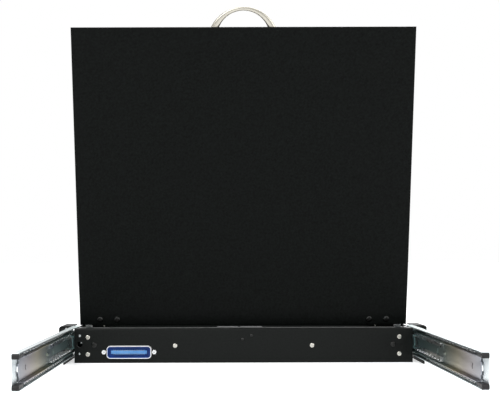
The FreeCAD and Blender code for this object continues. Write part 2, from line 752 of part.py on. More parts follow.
def keycap(x, y, units):
    """Tapered keycap on a square stem."""
    width = (units - 1) * key_pitch + key_skirt

    def outline(half_x, half_y, z, shift):
        return [Vector(x + sx * half_x, y + sy * half_y + shift, z) for sx, sy in ((-1, -1), (1, -1), (1, 1), (-1, 1))]
    foot = outline(width / 2, key_skirt / 2, key_foot, 0)
    top = outline(width / 2 - key_taper, key_skirt / 2 - key_taper * 0.8, key_top, 0.5)
    cap = tapered_block(foot, top)
    stem = block((x - key_stem / 2, x + key_stem / 2), (y - key_stem / 2, y + key_stem / 2), (stem_foot, key_foot + 1))
    return cap.fuse(stem)


deck_head_radius = 2.7
deck_head_height = 1.2


def deck():
    """Keyboard deck: a plate with folded front and rear legs on the tray's floor."""
    half = wall_inner - bend_radius - fit_gap
    front = tray_front + 2 * tray_sheet + fit_gap
    rear = tray_rear - bay_depth - 2.0
    inner_face = [Vector(-half, front, tray_floor), Vector(-half, front, deck_under),
                  Vector(-half, rear, deck_under), Vector(-half, rear, tray_floor)]
    plate = folded_sheet(inner_face, bend_radius, tray_sheet, Vector(2 * half, 0, 0))
    z = (deck_under - 1, deck_top + 1)
    rows = (keyboard_rear - key_block_depth, keyboard_rear)
    plate = plate.cut(block((main_left, main_left + main_width), rows, z))
    plate = plate.cut(block((navigation_left, navigation_left + 3 * key_pitch), rows, z))
    plate = plate.cut(block((-pad_width / 2, pad_width / 2), (pad_y - pad_depth / 2, pad_y + pad_depth / 2), z))
    for side in (-1, 1):
        x = side * (pad_button_width / 2 + 1.0)
        plate = plate.cut(block((x - pad_button_width / 2, x + pad_button_width / 2),
                                (pad_button_y - pad_button_depth / 2, pad_button_y + pad_button_depth / 2), z))
    for x, y in deck_screw_places():
        plate = plate.cut(prism((x, y, deck_under - 1), (0, 0, 1), screw_radius + screw_clearance, 4.0))
    return plate


def deck_screw_places():
    """X and Y of the screws that hold the keyboard to the deck."""
    front = keyboard_rear - key_block_depth - 3.2
    return [(x, y) for y in (keyboard_rear + 3.2, front) for x in (-150.0, 0.0, 150.0)]


def keyboard_base():
    """Moulded base: a plate with a guide hole for each stem, and a rim that is screwed under the deck."""
    rim = 6.0
    x = (main_left - rim, main_left + block_width + rim)
    y = (keyboard_rear - key_block_depth - rim, keyboard_rear + rim)
    body = block(x, y, (base_under, deck_under))
    well = block((x[0] + rim, x[1] - rim), (y[0] + rim, y[1] - rim), (base_top, deck_under + 1))
    body = body.cut(well)
    hole = key_stem + 2 * stem_clearance
    holes = []
    for places in key_rows.values():
        for key_x, key_y, units in places:
            holes.append(block((key_x - hole / 2, key_x + hole / 2), (key_y - hole / 2, key_y + hole / 2),
                               (base_under - 1, base_top + 1)))
    body = body.cut(Part.makeCompound(holes))
    for screw_x, screw_y in deck_screw_places():
        body = body.cut(prism((screw_x, screw_y, base_under - 1), (0, 0, 1), screw_radius + screw_clearance, 20.0))
    posts = [block((px - 3, px + 3), (py - 3, py + 3), (board_top, base_under))
             for px in (x[0] + 3, x[1] - 3) for py in (y[0] + 3, y[1] - 3)]
    return body.fuse(posts).removeSplitter()


board_top = stem_foot - key_travel - 1.2


def keyboard_board():
    """Contact board under the keys, with its controller chip."""
    board = block((main_left - 6, main_left + block_width + 6),
                  (keyboard_rear - key_block_depth - 6, keyboard_rear + 6), (board_top - board_sheet, board_top))
    chip = block((40, 56), (keyboard_rear - 40, keyboard_rear - 24), (board_top - board_sheet - 2, board_top - board_sheet))
    return board.fuse(chip)


def deck_screws():
    """Screws from the deck into the keyboard base."""
    return [pan_screw((x, y, deck_top), (0, 0, 1), deck_head_radius, deck_head_height, 3.5 * tray_sheet)
            for x, y in deck_screw_places()]


def touchpad():
    """Pad surface in the deck's opening, on a plate under the deck."""
    half_x = pad_width / 2 - fit_gap
    half_y = pad_depth / 2 - fit_gap
    pad = block((-half_x, half_x), (pad_y - half_y, pad_y + half_y), (deck_under, deck_top - 0.4))
    plate = block((-half_x - pad_rim, half_x + pad_rim), (pad_y - half_y - pad_rim, pad_y + half_y + pad_rim),
                  (deck_under - 2.4, deck_under))
    return pad.fuse(plate)


def pad_button(side):
    """Touchpad button: a cap in the deck's opening on a flange under the deck."""
    x = side * (pad_button_width / 2 + 1.0)
    half_x = pad_button_width / 2 - fit_gap
    half_y = pad_button_depth / 2 - fit_gap
    cap = block((x - half_x, x + half_x), (pad_button_y - half_y, pad_button_y + half_y),
                (deck_under - 1.0, deck_top + 1.0))
    cap = cap.makeChamfer(0.6, [e for e in cap.Edges if e.CenterOfMass.z > deck_top + 0.9])
    flange = block((x - half_x - 0.9, x + half_x + 0.9), (pad_button_y - half_y - 1.2, pad_button_y + half_y + 1.2),
                   (deck_under - 1.6, deck_under - fit_gap))
    return cap.fuse(flange)


# ---- Lid, modelled closed ----

screen_rear = lid_rear - screen_margin
screen_y = (lid_front + screen_top, screen_rear)
screen_height = screen_y[1] - screen_y[0]
panel_border = 9.5
glass_thickness = 1.8
panel_thickness = 12.0
panel_low = bezel_top + glass_thickness
menu_button_xs = [-36.0, -20.0, -4.0, 12.0]
power_button_x = 36.0
lid_button_y = lid_rear - 28.0
lid_button_width = 10.0
lid_button_depth = 5.0
lid_screw_xs = (lid_width / 2 - 48.0, lid_width / 2 - 26.0)
lid_head_radius = 3.9
lid_head_height = 1.3
handle_head_radius = 3.0
handle_head_height = 1.8
handle_edge = 1.5              # chamfer along the handle
lid_screw_y = lid_rear - 7.5
leaf_sheet = 2.0
handle_half = 39.7
handle_rise = 24.5
handle_inner_half = 29.5
handle_inner_rise = 19.3
handle_depth = 10.0


def lid_shell():
    """Back cover of the lid: a shallow folded pan, open to the screen side."""
    half = lid_width / 2
    outer = block((-half, half), (lid_front, lid_rear), (lid_under, lid_top))
    top_edges = [e for e in outer.Edges if abs(e.CenterOfMass.z - lid_top) < 0.01]
    outer = outer.makeFillet(0.9, top_edges)
    inner = block((-half + lid_sheet, half - lid_sheet), (lid_front + lid_sheet, lid_rear - lid_sheet),
                  (lid_under - 1, lid_inner_top))
    shell = outer.cut(inner)
    for side in (-1, 1):
        arm = (side * (hinge_centre_x - barrel_length - 1.2), side * (hinge_centre_x + 0.6))
        shell = shell.cut(block(arm, (lid_rear - 2, lid_rear + 1), (hinge_z - barrel_radius - 0.6, lid_inner_top)))
        for x in lid_screw_xs:
            shell = shell.cut(prism((side * x, lid_screw_y, lid_inner_top - 1), (0, 0, 1),
                                    screw_radius + screw_clearance, 4.0))
        shell = shell.cut(prism((side * handle_screw_x(), lid_front - 1, handle_z()), (0, 1, 0),
                                screw_radius + screw_clearance, 4.0))
    return shell


def handle_screw_x():
    """Middle of a handle's foot."""
    return (handle_half + handle_inner_half) / 2


def handle_z():
    """Height of the handle's middle plane with the lid closed."""
    return (lid_top + lid_under) / 2


def arch_edges(half, rise, z):
    """Three-centred arch on the lid's free edge: two shoulders and a flatter crown."""
    shoulder = rise * 0.62
    crown = (half ** 2 + rise ** 2 - 2 * half * shoulder) / (2 * (rise - shoulder))
    crown_y = lid_front - rise + crown
    turn = math.atan2(half - shoulder, crown - rise)
    top = Vector(0, lid_front - rise, z)
    edges = []
    for side in (-1, 1):
        foot = Vector(side * half, lid_front, z)
        half_way = (math.pi / 2 + turn) / 2
        middle = Vector(side * (half - shoulder + shoulder * math.sin(half_way)),
                        lid_front - shoulder * math.cos(half_way), z)
        join = Vector(side * crown * math.sin(turn), crown_y - crown * math.cos(turn), z)
        crown_middle = Vector(side * crown * math.sin(turn / 2), crown_y - crown * math.cos(turn / 2), z)
        edges.append(Part.Arc(foot, middle, join).toShape())
        edges.append(Part.Arc(join, crown_middle, top).toShape())
    return edges


def pull_handle():
    """Bow handle on the lid's free edge: an outer and an inner arch with softened edges."""
    low = handle_z() - handle_depth / 2
    edges = arch_edges(handle_half, handle_rise, low) + arch_edges(handle_inner_half, handle_inner_rise, low)
    for side in (-1, 1):
        edges.append(Part.LineSegment(Vector(side * handle_half, lid_front, low),
                                      Vector(side * handle_inner_half, lid_front, low)).toShape())
    bow = Part.Face(Part.Wire(Part.__sortEdges__(edges))).extrude(Vector(0, 0, handle_depth))
    faces = (low, low + handle_depth)
    rims = [e for e in bow.Edges if min(abs(e.CenterOfMass.z - z) for z in faces) < 0.01
            and e.CenterOfMass.y < lid_front - 0.01]
    bow = bow.makeChamfer(handle_edge, rims)
    for side in (-1, 1):
        bow = bow.cut(prism((side * handle_screw_x(), lid_front - 6.5, handle_z()), (0, 1, 0),
                            screw_radius + screw_clearance, 8.0))
    return bow


def handle_screws():
    """Screws from inside the lid into the handle's feet."""
    return [pan_screw((side * handle_screw_x(), lid_front + lid_sheet, handle_z()), (0, 1, 0), handle_head_radius,
                      handle_head_height, 6 * lid_sheet) for side in (-1, 1)]


def button_hole(x, clearance):
    """Opening in the bezel for one button."""
    half_x = lid_button_width / 2 + clearance
    half_y = lid_button_depth / 2 + clearance
    return block((x - half_x, x + half_x), (lid_button_y - half_y, lid_button_y + half_y),
                 (lid_under - 1, bezel_top + 1))


def lid_bezel():
    """Screen frame that closes the lid's front, with openings for the screen and the buttons."""
    half = lid_width / 2 - lid_sheet - fit_gap
    frame = block((-half, half), (lid_front + lid_sheet + fit_gap, lid_rear - lid_sheet - fit_gap),
                  (lid_under, bezel_top))
    sides = (-screen_width / 2, screen_width / 2)
    opening = block(sides, screen_y, (lid_under - 1, bezel_top + 1))
    frame = frame.cut(opening)
    sight = [e for e in frame.Edges if abs(e.CenterOfMass.z - lid_under) < 0.01
             and abs(e.CenterOfMass.x) < screen_width / 2 + 1 and screen_y[0] - 1 < e.CenterOfMass.y < screen_y[1] + 1]
    frame = frame.makeChamfer(1.2, sight)
    for x in menu_button_xs + [power_button_x]:
        frame = frame.cut(button_hole(x, 0.0))
    rib = 3.0
    rim = block((-half, half), (lid_front + lid_sheet + fit_gap, lid_rear - lid_sheet - fit_gap),
                (bezel_top, bezel_top + rib))
    hollow = block((-half + 1.5, half - 1.5), (lid_front + lid_sheet + fit_gap + 1.5, lid_rear - lid_sheet - fit_gap - 1.5),
                   (bezel_top - 1, bezel_top + rib + 1))
    return frame.fuse(rim.cut(hollow)).removeSplitter()


def lid_button(x):
    """Bezel button: cap in its opening on a flange inside the bezel."""
    half_x = lid_button_width / 2 - fit_gap
    half_y = lid_button_depth / 2 - fit_gap
    cap = block((x - half_x, x + half_x), (lid_button_y - half_y, lid_button_y + half_y),
                (lid_under - 0.6, bezel_top + 1.0))
    cap = cap.makeChamfer(0.4, [e for e in cap.Edges if e.CenterOfMass.z < lid_under - 0.5])
    flange = block((x - half_x - 1, x + half_x + 1), (lid_button_y - half_y - 1, lid_button_y + half_y + 1),
                   (bezel_top + fit_gap, bezel_top + 1.3))
    return cap.fuse(flange)


def screen_glass():
    """Protective glass behind the bezel."""
    border = 6.0
    return block((-screen_width / 2 - border, screen_width / 2 + border),
                 (screen_y[0] - border, screen_y[1] + border), (bezel_top, panel_low))


def lcd_half_width():
    """Half the width of the screen module."""
    return screen_width / 2 + panel_border


def lcd_panel():
    """Screen module: metal frame round the display, with a shallow back."""
    half = lcd_half_width()
    y = (screen_y[0] - panel_border, screen_y[1] + panel_border)
    body = block((-half, half), y, (panel_low, panel_low + panel_thickness - 3))
    back = block((-half + 14, half - 14), (y[0] + 14, y[1] - 14),
                 (panel_low + panel_thickness - 3, panel_low + panel_thickness))
    return body.fuse(back)


def lcd_brackets():
    """Angle brackets that hang the screen module from the back cover."""
    brackets = []
    half = lcd_half_width()
    for side in (-1, 1):
        inner_face = [Vector(side * half, screen_y[0], panel_low + 1), Vector(side * half, screen_y[0], lid_inner_top),
                      Vector(side * (half + 14), screen_y[0], lid_inner_top)]
        inner_face = [inner_face[0] + Vector(side * 1.2, 0, 0), inner_face[1] + Vector(side * 1.2, 0, -1.2),
                      inner_face[2] + Vector(0, 0, -1.2)]
        brackets.append(folded_sheet(inner_face, 0.5, 1.2, Vector(0, screen_height, 0)))
    return brackets


def display_board():
    """Display controller beside the screen module, on posts from the back cover."""
    y = (screen_y[1] + panel_border + 4, lid_rear - 12)
    z = (bezel_top + 7.0, bezel_top + 7.0 + board_sheet)
    half = screen_width / 3
    board = block((-half, half), y, z)
    for side in (-1, 1):
        board = board.fuse(prism((side * 0.93 * half, (y[0] + y[1]) / 2, z[1]), (0, 0, 1), board_post,
                                 lid_inner_top - z[1]))
    for start, end, height in ((-0.82, -0.6, 1.5), (-0.46, -0.32, 2.5), (-0.18, 0.09, 1.25), (0.27, 0.43, 3.1),
                               (0.57, 0.8, 2.0)):
        board = board.fuse(block((start * half, end * half), (y[0] + 3, y[0] + 16),
                                 (z[1], z[1] + height * board_sheet)))
    return board


def hinge_arm():
    """Moving half of a hinge: barrel, neck through the lid's edge and leaf under the back cover."""
    low_x = hinge_centre_x - barrel_length
    barrel = rod((low_x, hinge_y, hinge_z), (1, 0, 0), barrel_radius, barrel_length)
    neck = block((low_x, hinge_centre_x), (lid_rear - 4, hinge_y), (hinge_z - 1.0, lid_inner_top))
    leaf = block((lid_screw_xs[0] - 9, hinge_centre_x), (lid_rear - 22, lid_rear - lid_sheet - fit_gap),
                 (lid_inner_top - leaf_sheet, lid_inner_top))
    arm = barrel.fuse([neck, leaf]).removeSplitter()
    for x in lid_screw_xs:
        arm = arm.cut(prism((x, lid_screw_y, lid_inner_top - 5), (0, 0, 1), screw_radius + screw_clearance, 8.0))
    return arm.cut(rod((low_x - 1, hinge_y, hinge_z), (1, 0, 0), pin_radius, barrel_length + 2))


def hinge_pin():
    """Pin held in the arm's barrel, turning in the base's barrel."""
    start = hinge_centre_x - barrel_length
    return rod((start, hinge_y, hinge_z), (1, 0, 0), pin_radius, 2 * barrel_length + 2 * fit_gap)


def lid_hinge_screws():
    """Black screws through the lid's back into the hinge leaves."""
    return [pan_screw((side * x, lid_screw_y, lid_top), (0, 0, 1), lid_head_radius, lid_head_height,
                      lid_sheet + leaf_sheet + 0.5 * lid_sheet)
            for side in (-1, 1) for x in lid_screw_xs]


def build_rack_side():
    """Everything that stays in the rack."""
    save_pair("ear_bracket", ear_bracket())
    save_pair("ear_hood", ear_hood())
    save_pair("outer_rail", outer_rail())
    stops = bumpers()
    save("rail_bumpers", *stops, *[other_side(s) for s in stops])
    rivets = rail_rivets()
    save("rail_rivets", *rivets, *[other_side(r) for r in rivets])


def build_slides():
    """Moving members of the slides with their ball cages."""
    save_pair("intermediate_rail", middle_rail())
    outer_cage, outer_balls = outer_cage_and_balls()
    save_pair("outer_cage", outer_cage)
    save("outer_cage_balls", *outer_balls, *[other_side(b) for b in outer_balls])
    inner_cage, inner_balls = inner_cage_and_balls()
    save_pair("inner_cage", inner_cage)
    save("inner_cage_balls", *inner_balls, *[other_side(b) for b in inner_balls])
    save_pair("inner_rail", inner_rail())
    screws = rail_screws()
    save("rail_screws", *screws, *[other_side(s) for s in screws])


def build_drawer():
    """Tray, rear panel, connector and keyboard."""
    save("tray_pan", tray_pan())
    save("rear_panel", rear_panel())
    save("connector_shell", connector_shell())
    save("connector_insert", connector_insert())
    save("connector_contacts", *connector_contacts())
    save("jackscrews", *jackscrews())
    save("interface_board", interface_board())
    zinc, black = rear_panel_screws()
    save("rear_screws", *rear_screws(zinc, rear_head_radius))
    save("rear_black_screws", *rear_screws(black[:2], black_head_radius),
         *rear_screws(black[2:], small_head_radius))
    save_pair("hinge_base", hinge_base())
    save("keyboard_deck", deck())
    save("keyboard_base", keyboard_base())
    save("keyboard_board", keyboard_board())
    save("deck_screws", *deck_screws())
    save("touchpad", touchpad())
    save("left_pad_button", pad_button(-1))
    save("right_pad_button", pad_button(1))
    for name, places in key_rows.items():
        save(name, *[keycap(*place) for place in places])


def build_lid():
    """Lid with the screen, turned open."""
    save("lid_shell", opened(lid_shell()))
    save("lid_bezel", opened(lid_bezel()))
    save("screen_glass", opened(screen_glass()))
    save("lcd_panel", opened(lcd_panel()))
    save("lcd_brackets", *[opened(b) for b in lcd_brackets()])
    save("display_board", opened(display_board()))
    save("pull_handle", opened(pull_handle()))
    save("handle_screws", *[opened(s) for s in handle_screws()])
    save_pair("hinge_arm", opened(hinge_arm()))
    save("hinge_pins", opened(hinge_pin()), other_side(opened(hinge_pin())))
    save("lid_hinge_screws", *[opened(s) for s in lid_hinge_screws()])
    save("power_button", opened(lid_button(power_button_x)))
    save("menu_buttons", *[opened(lid_button(x)) for x in menu_button_xs])


build_rack_side()
build_slides()
build_drawer()
build_lid()
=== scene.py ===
"""Finishes, fittings and studio for a one-unit rackmount LCD console drawer."""

import json
import logging
import math
from collections.abc import Callable
from dataclasses import dataclass, field
from enum import Enum

import bpy
from mathutils import Matrix, Vector

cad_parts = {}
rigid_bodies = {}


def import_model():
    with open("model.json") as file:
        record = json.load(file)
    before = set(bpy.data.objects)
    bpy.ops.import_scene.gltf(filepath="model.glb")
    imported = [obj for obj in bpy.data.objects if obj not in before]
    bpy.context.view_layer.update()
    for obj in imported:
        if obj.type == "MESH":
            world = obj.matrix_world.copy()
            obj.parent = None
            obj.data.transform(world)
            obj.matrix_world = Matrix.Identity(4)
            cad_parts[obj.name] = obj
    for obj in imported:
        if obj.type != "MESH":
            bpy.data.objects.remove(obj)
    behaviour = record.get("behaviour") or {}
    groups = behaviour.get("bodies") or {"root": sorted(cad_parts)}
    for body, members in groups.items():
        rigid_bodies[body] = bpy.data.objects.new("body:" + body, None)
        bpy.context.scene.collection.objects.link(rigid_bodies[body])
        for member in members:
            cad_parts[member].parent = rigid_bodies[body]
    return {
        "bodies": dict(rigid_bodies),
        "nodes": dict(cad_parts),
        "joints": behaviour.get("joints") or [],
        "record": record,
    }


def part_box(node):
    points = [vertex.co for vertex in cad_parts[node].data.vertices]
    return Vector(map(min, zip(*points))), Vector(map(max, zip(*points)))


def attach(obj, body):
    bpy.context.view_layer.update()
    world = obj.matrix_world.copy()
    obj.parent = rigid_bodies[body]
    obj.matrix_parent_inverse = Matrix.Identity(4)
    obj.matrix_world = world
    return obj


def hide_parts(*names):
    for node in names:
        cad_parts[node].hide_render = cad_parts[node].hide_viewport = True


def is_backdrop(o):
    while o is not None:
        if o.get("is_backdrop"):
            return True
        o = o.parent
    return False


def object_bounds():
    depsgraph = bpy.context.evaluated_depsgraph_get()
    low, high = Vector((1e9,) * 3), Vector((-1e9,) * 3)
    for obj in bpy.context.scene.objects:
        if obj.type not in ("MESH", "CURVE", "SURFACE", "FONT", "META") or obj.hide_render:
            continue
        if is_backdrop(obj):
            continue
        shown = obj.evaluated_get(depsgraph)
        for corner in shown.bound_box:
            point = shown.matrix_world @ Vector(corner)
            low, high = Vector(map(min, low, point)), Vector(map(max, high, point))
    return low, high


log = logging.getLogger("scene")

Colour = tuple[float, float, float]
Triple = tuple[float, float, float]
Tree = bpy.types.NodeTree
Node = bpy.types.Node
Socket = bpy.types.NodeSocket

MERGE = 1e-6                       # corners closer than this are one
LEVEL = 3e-5                       # heights closer than this are level
LID_TURN = math.radians(-102.4)    # from the closed lid to the open one
FLAT = math.radians(0.5)           # faces closer in angle than this are one
SHARP = math.radians(40.0)         # edges sharper than this are rounded
ROUND_SIDES = 24                   # sides of the round pieces
SIDES = ("left_", "right_")
NOISE_LOW = 0.3                    # where nearly all of a noise starts
NOISE_SPAN = 0.4                   # and how far it reaches
GLANCE = 0.35                      # how soon the plating's colours show


class Kind(Enum):
    """Kind of mesh element that is selected."""

    FACE = "FACE"
    EDGE = "EDGE"


# --- finishes


def noise_factor(tree: Tree, mapping: Node, scale: float, detail: float) -> Socket:
    """Adds a noise texture.

    Args:
        tree: Node tree of the material.
        mapping: Node that gives the coordinates.
        scale: Noise scale, per metre.
        detail: Octaves of the noise.

    Returns:
        The noise's factor socket.
    """
    noise = tree.nodes.new("ShaderNodeTexNoise")
    noise.inputs["Scale"].default_value = scale
    noise.inputs["Detail"].default_value = detail
    tree.links.new(mapping.outputs["Vector"], noise.inputs["Vector"])
    return noise.outputs["Fac"]


def ramped(tree: Tree, factor: Socket, stops: list[tuple[float, Colour]]) -> Socket:
    """Runs a factor through several colours.

    Args:
        tree: Node tree of the material.
        factor: Socket that picks the colour.
        stops: Place and colour of each stop, from low to high.

    Returns:
        The colour socket.
    """
    ramp = tree.nodes.new("ShaderNodeValToRGB")
    elements = ramp.color_ramp.elements
    while len(elements) < len(stops):
        elements.new(0.5)
    for index, (place, colour) in enumerate(stops):
        elements[index].position = place
        elements[index].color = (*colour, 1.0)
    tree.links.new(factor, ramp.inputs["Fac"])
    return ramp.outputs["Color"]


def mottled(tree: Tree, mapping: Node, scale: float, colours: tuple[Colour, ...]) -> Socket:
    """Adds a noise that runs through several colours.

    Args:
        tree: Node tree of the material.
        mapping: Node that gives the coordinates.
        scale: Noise scale, per metre.
        colours: Colours from low to high.

    Returns:
        The colour socket.
    """
    last = len(colours) - 1
    stops = [(NOISE_LOW + NOISE_SPAN * index / last, colour) for index, colour in enumerate(colours)]
    return ramped(tree, noise_factor(tree, mapping, scale, 3.0), stops)


def multiplied(tree: Tree, tones: Socket, colours: Socket) -> Node:
    """Multiplies one colour by another.

    Args:
        tree: Node tree of the material.
        tones: Colour socket of the bare surface.
        colours: Colour socket to multiply it by.

    Returns:
        The mix node, whose factor is still to be set.
    """
    mix = tree.nodes.new("ShaderNodeMix")
    mix.data_type = "RGBA"
    mix.blend_type = "MULTIPLY"
    tree.links.new(tones, mix.inputs["A"])
    tree.links.new(colours, mix.inputs["B"])
    return mix


def seen_rays(tree: Tree) -> Socket:
    """Adds up the camera, glossy and transmission rays.

    Args:
        tree: Node tree of a material or of the world.

    Returns:
        A socket that is one on those rays.
    """
    path = tree.nodes.new("ShaderNodeLightPath")
    total = path.outputs["Is Camera Ray"]
    for name in ("Is Glossy Ray", "Is Transmission Ray"):
        add = tree.nodes.new("ShaderNodeMath")
        add.operation = "ADD"
        add.use_clamp = True
        tree.links.new(total, add.inputs[0])
        tree.links.new(path.outputs[name], add.inputs[1])
        total = add.outputs["Value"]
    return total


@dataclass(frozen=True)
class Finish:
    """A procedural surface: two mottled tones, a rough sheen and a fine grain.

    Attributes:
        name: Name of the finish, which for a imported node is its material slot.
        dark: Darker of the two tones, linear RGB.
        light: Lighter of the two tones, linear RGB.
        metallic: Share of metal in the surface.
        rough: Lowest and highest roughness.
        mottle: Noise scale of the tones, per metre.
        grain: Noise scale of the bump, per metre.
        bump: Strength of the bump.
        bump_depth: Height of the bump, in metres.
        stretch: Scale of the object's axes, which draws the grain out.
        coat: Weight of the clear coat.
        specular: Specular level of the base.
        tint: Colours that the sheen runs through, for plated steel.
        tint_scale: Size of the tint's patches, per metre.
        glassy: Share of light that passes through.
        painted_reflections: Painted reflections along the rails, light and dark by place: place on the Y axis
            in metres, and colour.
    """

    name: str
    dark: Colour
    light: Colour
    metallic: float = 0.0
    rough: tuple[float, float] = (0.4, 0.6)
    mottle: float = 60.0
    grain: float = 1500.0
    bump: float = 0.2
    bump_depth: float = 0.0002
    stretch: Triple = (1.0, 1.0, 1.0)
    coat: float = 0.0
    specular: float = 0.5
    tint: tuple[Colour, ...] = ()
    tint_scale: float = 18.0
    glassy: float = 0.0
    painted_reflections: tuple[tuple[float, Colour], ...] = ()

    def material(self) -> bpy.types.Material:
        """Builds the node material.

        Returns:
            The new material.
        """
        made = bpy.data.materials.new(self.name)
        made.use_nodes = True
        tree = made.node_tree
        shader = tree.nodes["Principled BSDF"]
        coordinates = tree.nodes.new("ShaderNodeTexCoord")
        mapping = tree.nodes.new("ShaderNodeMapping")
        mapping.inputs["Scale"].default_value = self.stretch
        tree.links.new(coordinates.outputs["Object"], mapping.inputs["Vector"])
        tones = mottled(tree, mapping, self.mottle, (self.dark, self.light))
        if self.tint:
            tones = self._tinted(tree, mapping, tones)
        # Painted reflections along the rails, multiplied into the metal's colour
        if self.painted_reflections:
            tones = self._painted_reflections_along_rail(tree, coordinates, tones)
        tree.links.new(tones, shader.inputs["Base Color"])
        tree.links.new(self._roughness(tree, mapping), shader.inputs["Roughness"])
        tree.links.new(self._bumped(tree, mapping), shader.inputs["Normal"])
        shader.inputs["Metallic"].default_value = self.metallic
        shader.inputs["Coat Weight"].default_value = self.coat
        shader.inputs["Specular IOR Level"].default_value = self.specular
        shader.inputs["Transmission Weight"].default_value = self.glassy
        return made

    def _tinted(self, tree: Tree, mapping: Node, tones: Socket) -> Socket:
        """Lays the plating's passing colours over the metal, stronger at a glance.

        Args:
            tree: Node tree of the material.
            mapping: Node that gives the coordinates.
            tones: Colour socket of the bare metal.

        Returns:
            The colour socket of the tinted metal.
        """
        mix = multiplied(tree, tones, mottled(tree, mapping, self.tint_scale, self.tint))
        facing = tree.nodes.new("ShaderNodeLayerWeight")
        facing.inputs["Blend"].default_value = GLANCE
        tree.links.new(facing.outputs["Facing"], mix.inputs["Factor"])
        return mix.outputs["Result"]

    def _painted_reflections_along_rail(self, tree: Tree, coordinates: Node, tones: Socket) -> Socket:
        """Multiplies the metal by painted reflections: light and dark colours that pass along the rails.

        Args:
            tree: Node tree of the material.
            coordinates: Texture coordinate node.
            tones: Colour socket of the bare metal.

        Returns:
            The colour socket of the result.
        """
        start, end = self.painted_reflections[0][0], self.painted_reflections[-1][0]
        parts = tree.nodes.new("ShaderNodeSeparateXYZ")
        tree.links.new(coordinates.outputs["Object"], parts.inputs["Vector"])
        spread = tree.nodes.new("ShaderNodeMapRange")
        spread.inputs["From Min"].default_value = start
        spread.inputs["From Max"].default_value = end
        tree.links.new(parts.outputs["Y"], spread.inputs["Value"])
        stops = [((place - start) / (end - start), colour) for place, colour in self.painted_reflections]
        mix = multiplied(tree, tones, ramped(tree, spread.outputs["Result"], stops))
        mix.inputs["Factor"].default_value = 1.0
        return mix.outputs["Result"]

    def _roughness(self, tree: Tree, mapping: Node) -> Socket:
        """Adds the roughness, which varies over the surface.

        Args:
            tree: Node tree of the material.
            mapping: Node that gives the coordinates.

        Returns:
            The roughness socket.
        """
        spread = tree.nodes.new("ShaderNodeMapRange")
        spread.inputs["From Min"].default_value = NOISE_LOW
        spread.inputs["From Max"].default_value = NOISE_LOW + NOISE_SPAN
        spread.inputs["To Min"].default_value = self.rough[0]
        spread.inputs["To Max"].default_value = self.rough[1]
        tree.links.new(noise_factor(tree, mapping, self.mottle * 3.0, 4.0), spread.inputs["Value"])
        return spread.outputs["Result"]

    def _bumped(self, tree: Tree, mapping: Node) -> Socket:
        """Adds the fine grain.

        Args:
            tree: Node tree of the material.
            mapping: Node that gives the coordinates.

        Returns:
            The normal socket.
        """
        bump = tree.nodes.new("ShaderNodeBump")
        bump.inputs["Strength"].default_value = self.bump
        bump.inputs["Distance"].default_value = self.bump_depth
        tree.links.new(noise_factor(tree, mapping, self.grain, 2.0), bump.inputs["Height"])
        return bump.outputs["Normal"]


# Painted reflections along the slide members: light and dark colours by place on the Y axis, in place of what
# they would reflect, partly the plating's own hues
WEB_PAINTED_REFLECTIONS = (
    (0.05, (0.10, 0.17, 0.17)),
    (0.13, (0.20, 0.28, 0.27)),
    (0.21, (0.17, 0.21, 0.19)),
    (0.28, (0.44, 0.40, 0.28)),
    (0.33, (0.40, 0.36, 0.35)),
    (0.38, (0.37, 0.38, 0.42)),
)

OUTER_PAINTED_REFLECTIONS = (
    (0.0, (0.30, 0.38, 0.38)),
    (0.2, (0.62, 0.68, 0.68)),
    (0.4, (0.92, 0.98, 1.0)),
)

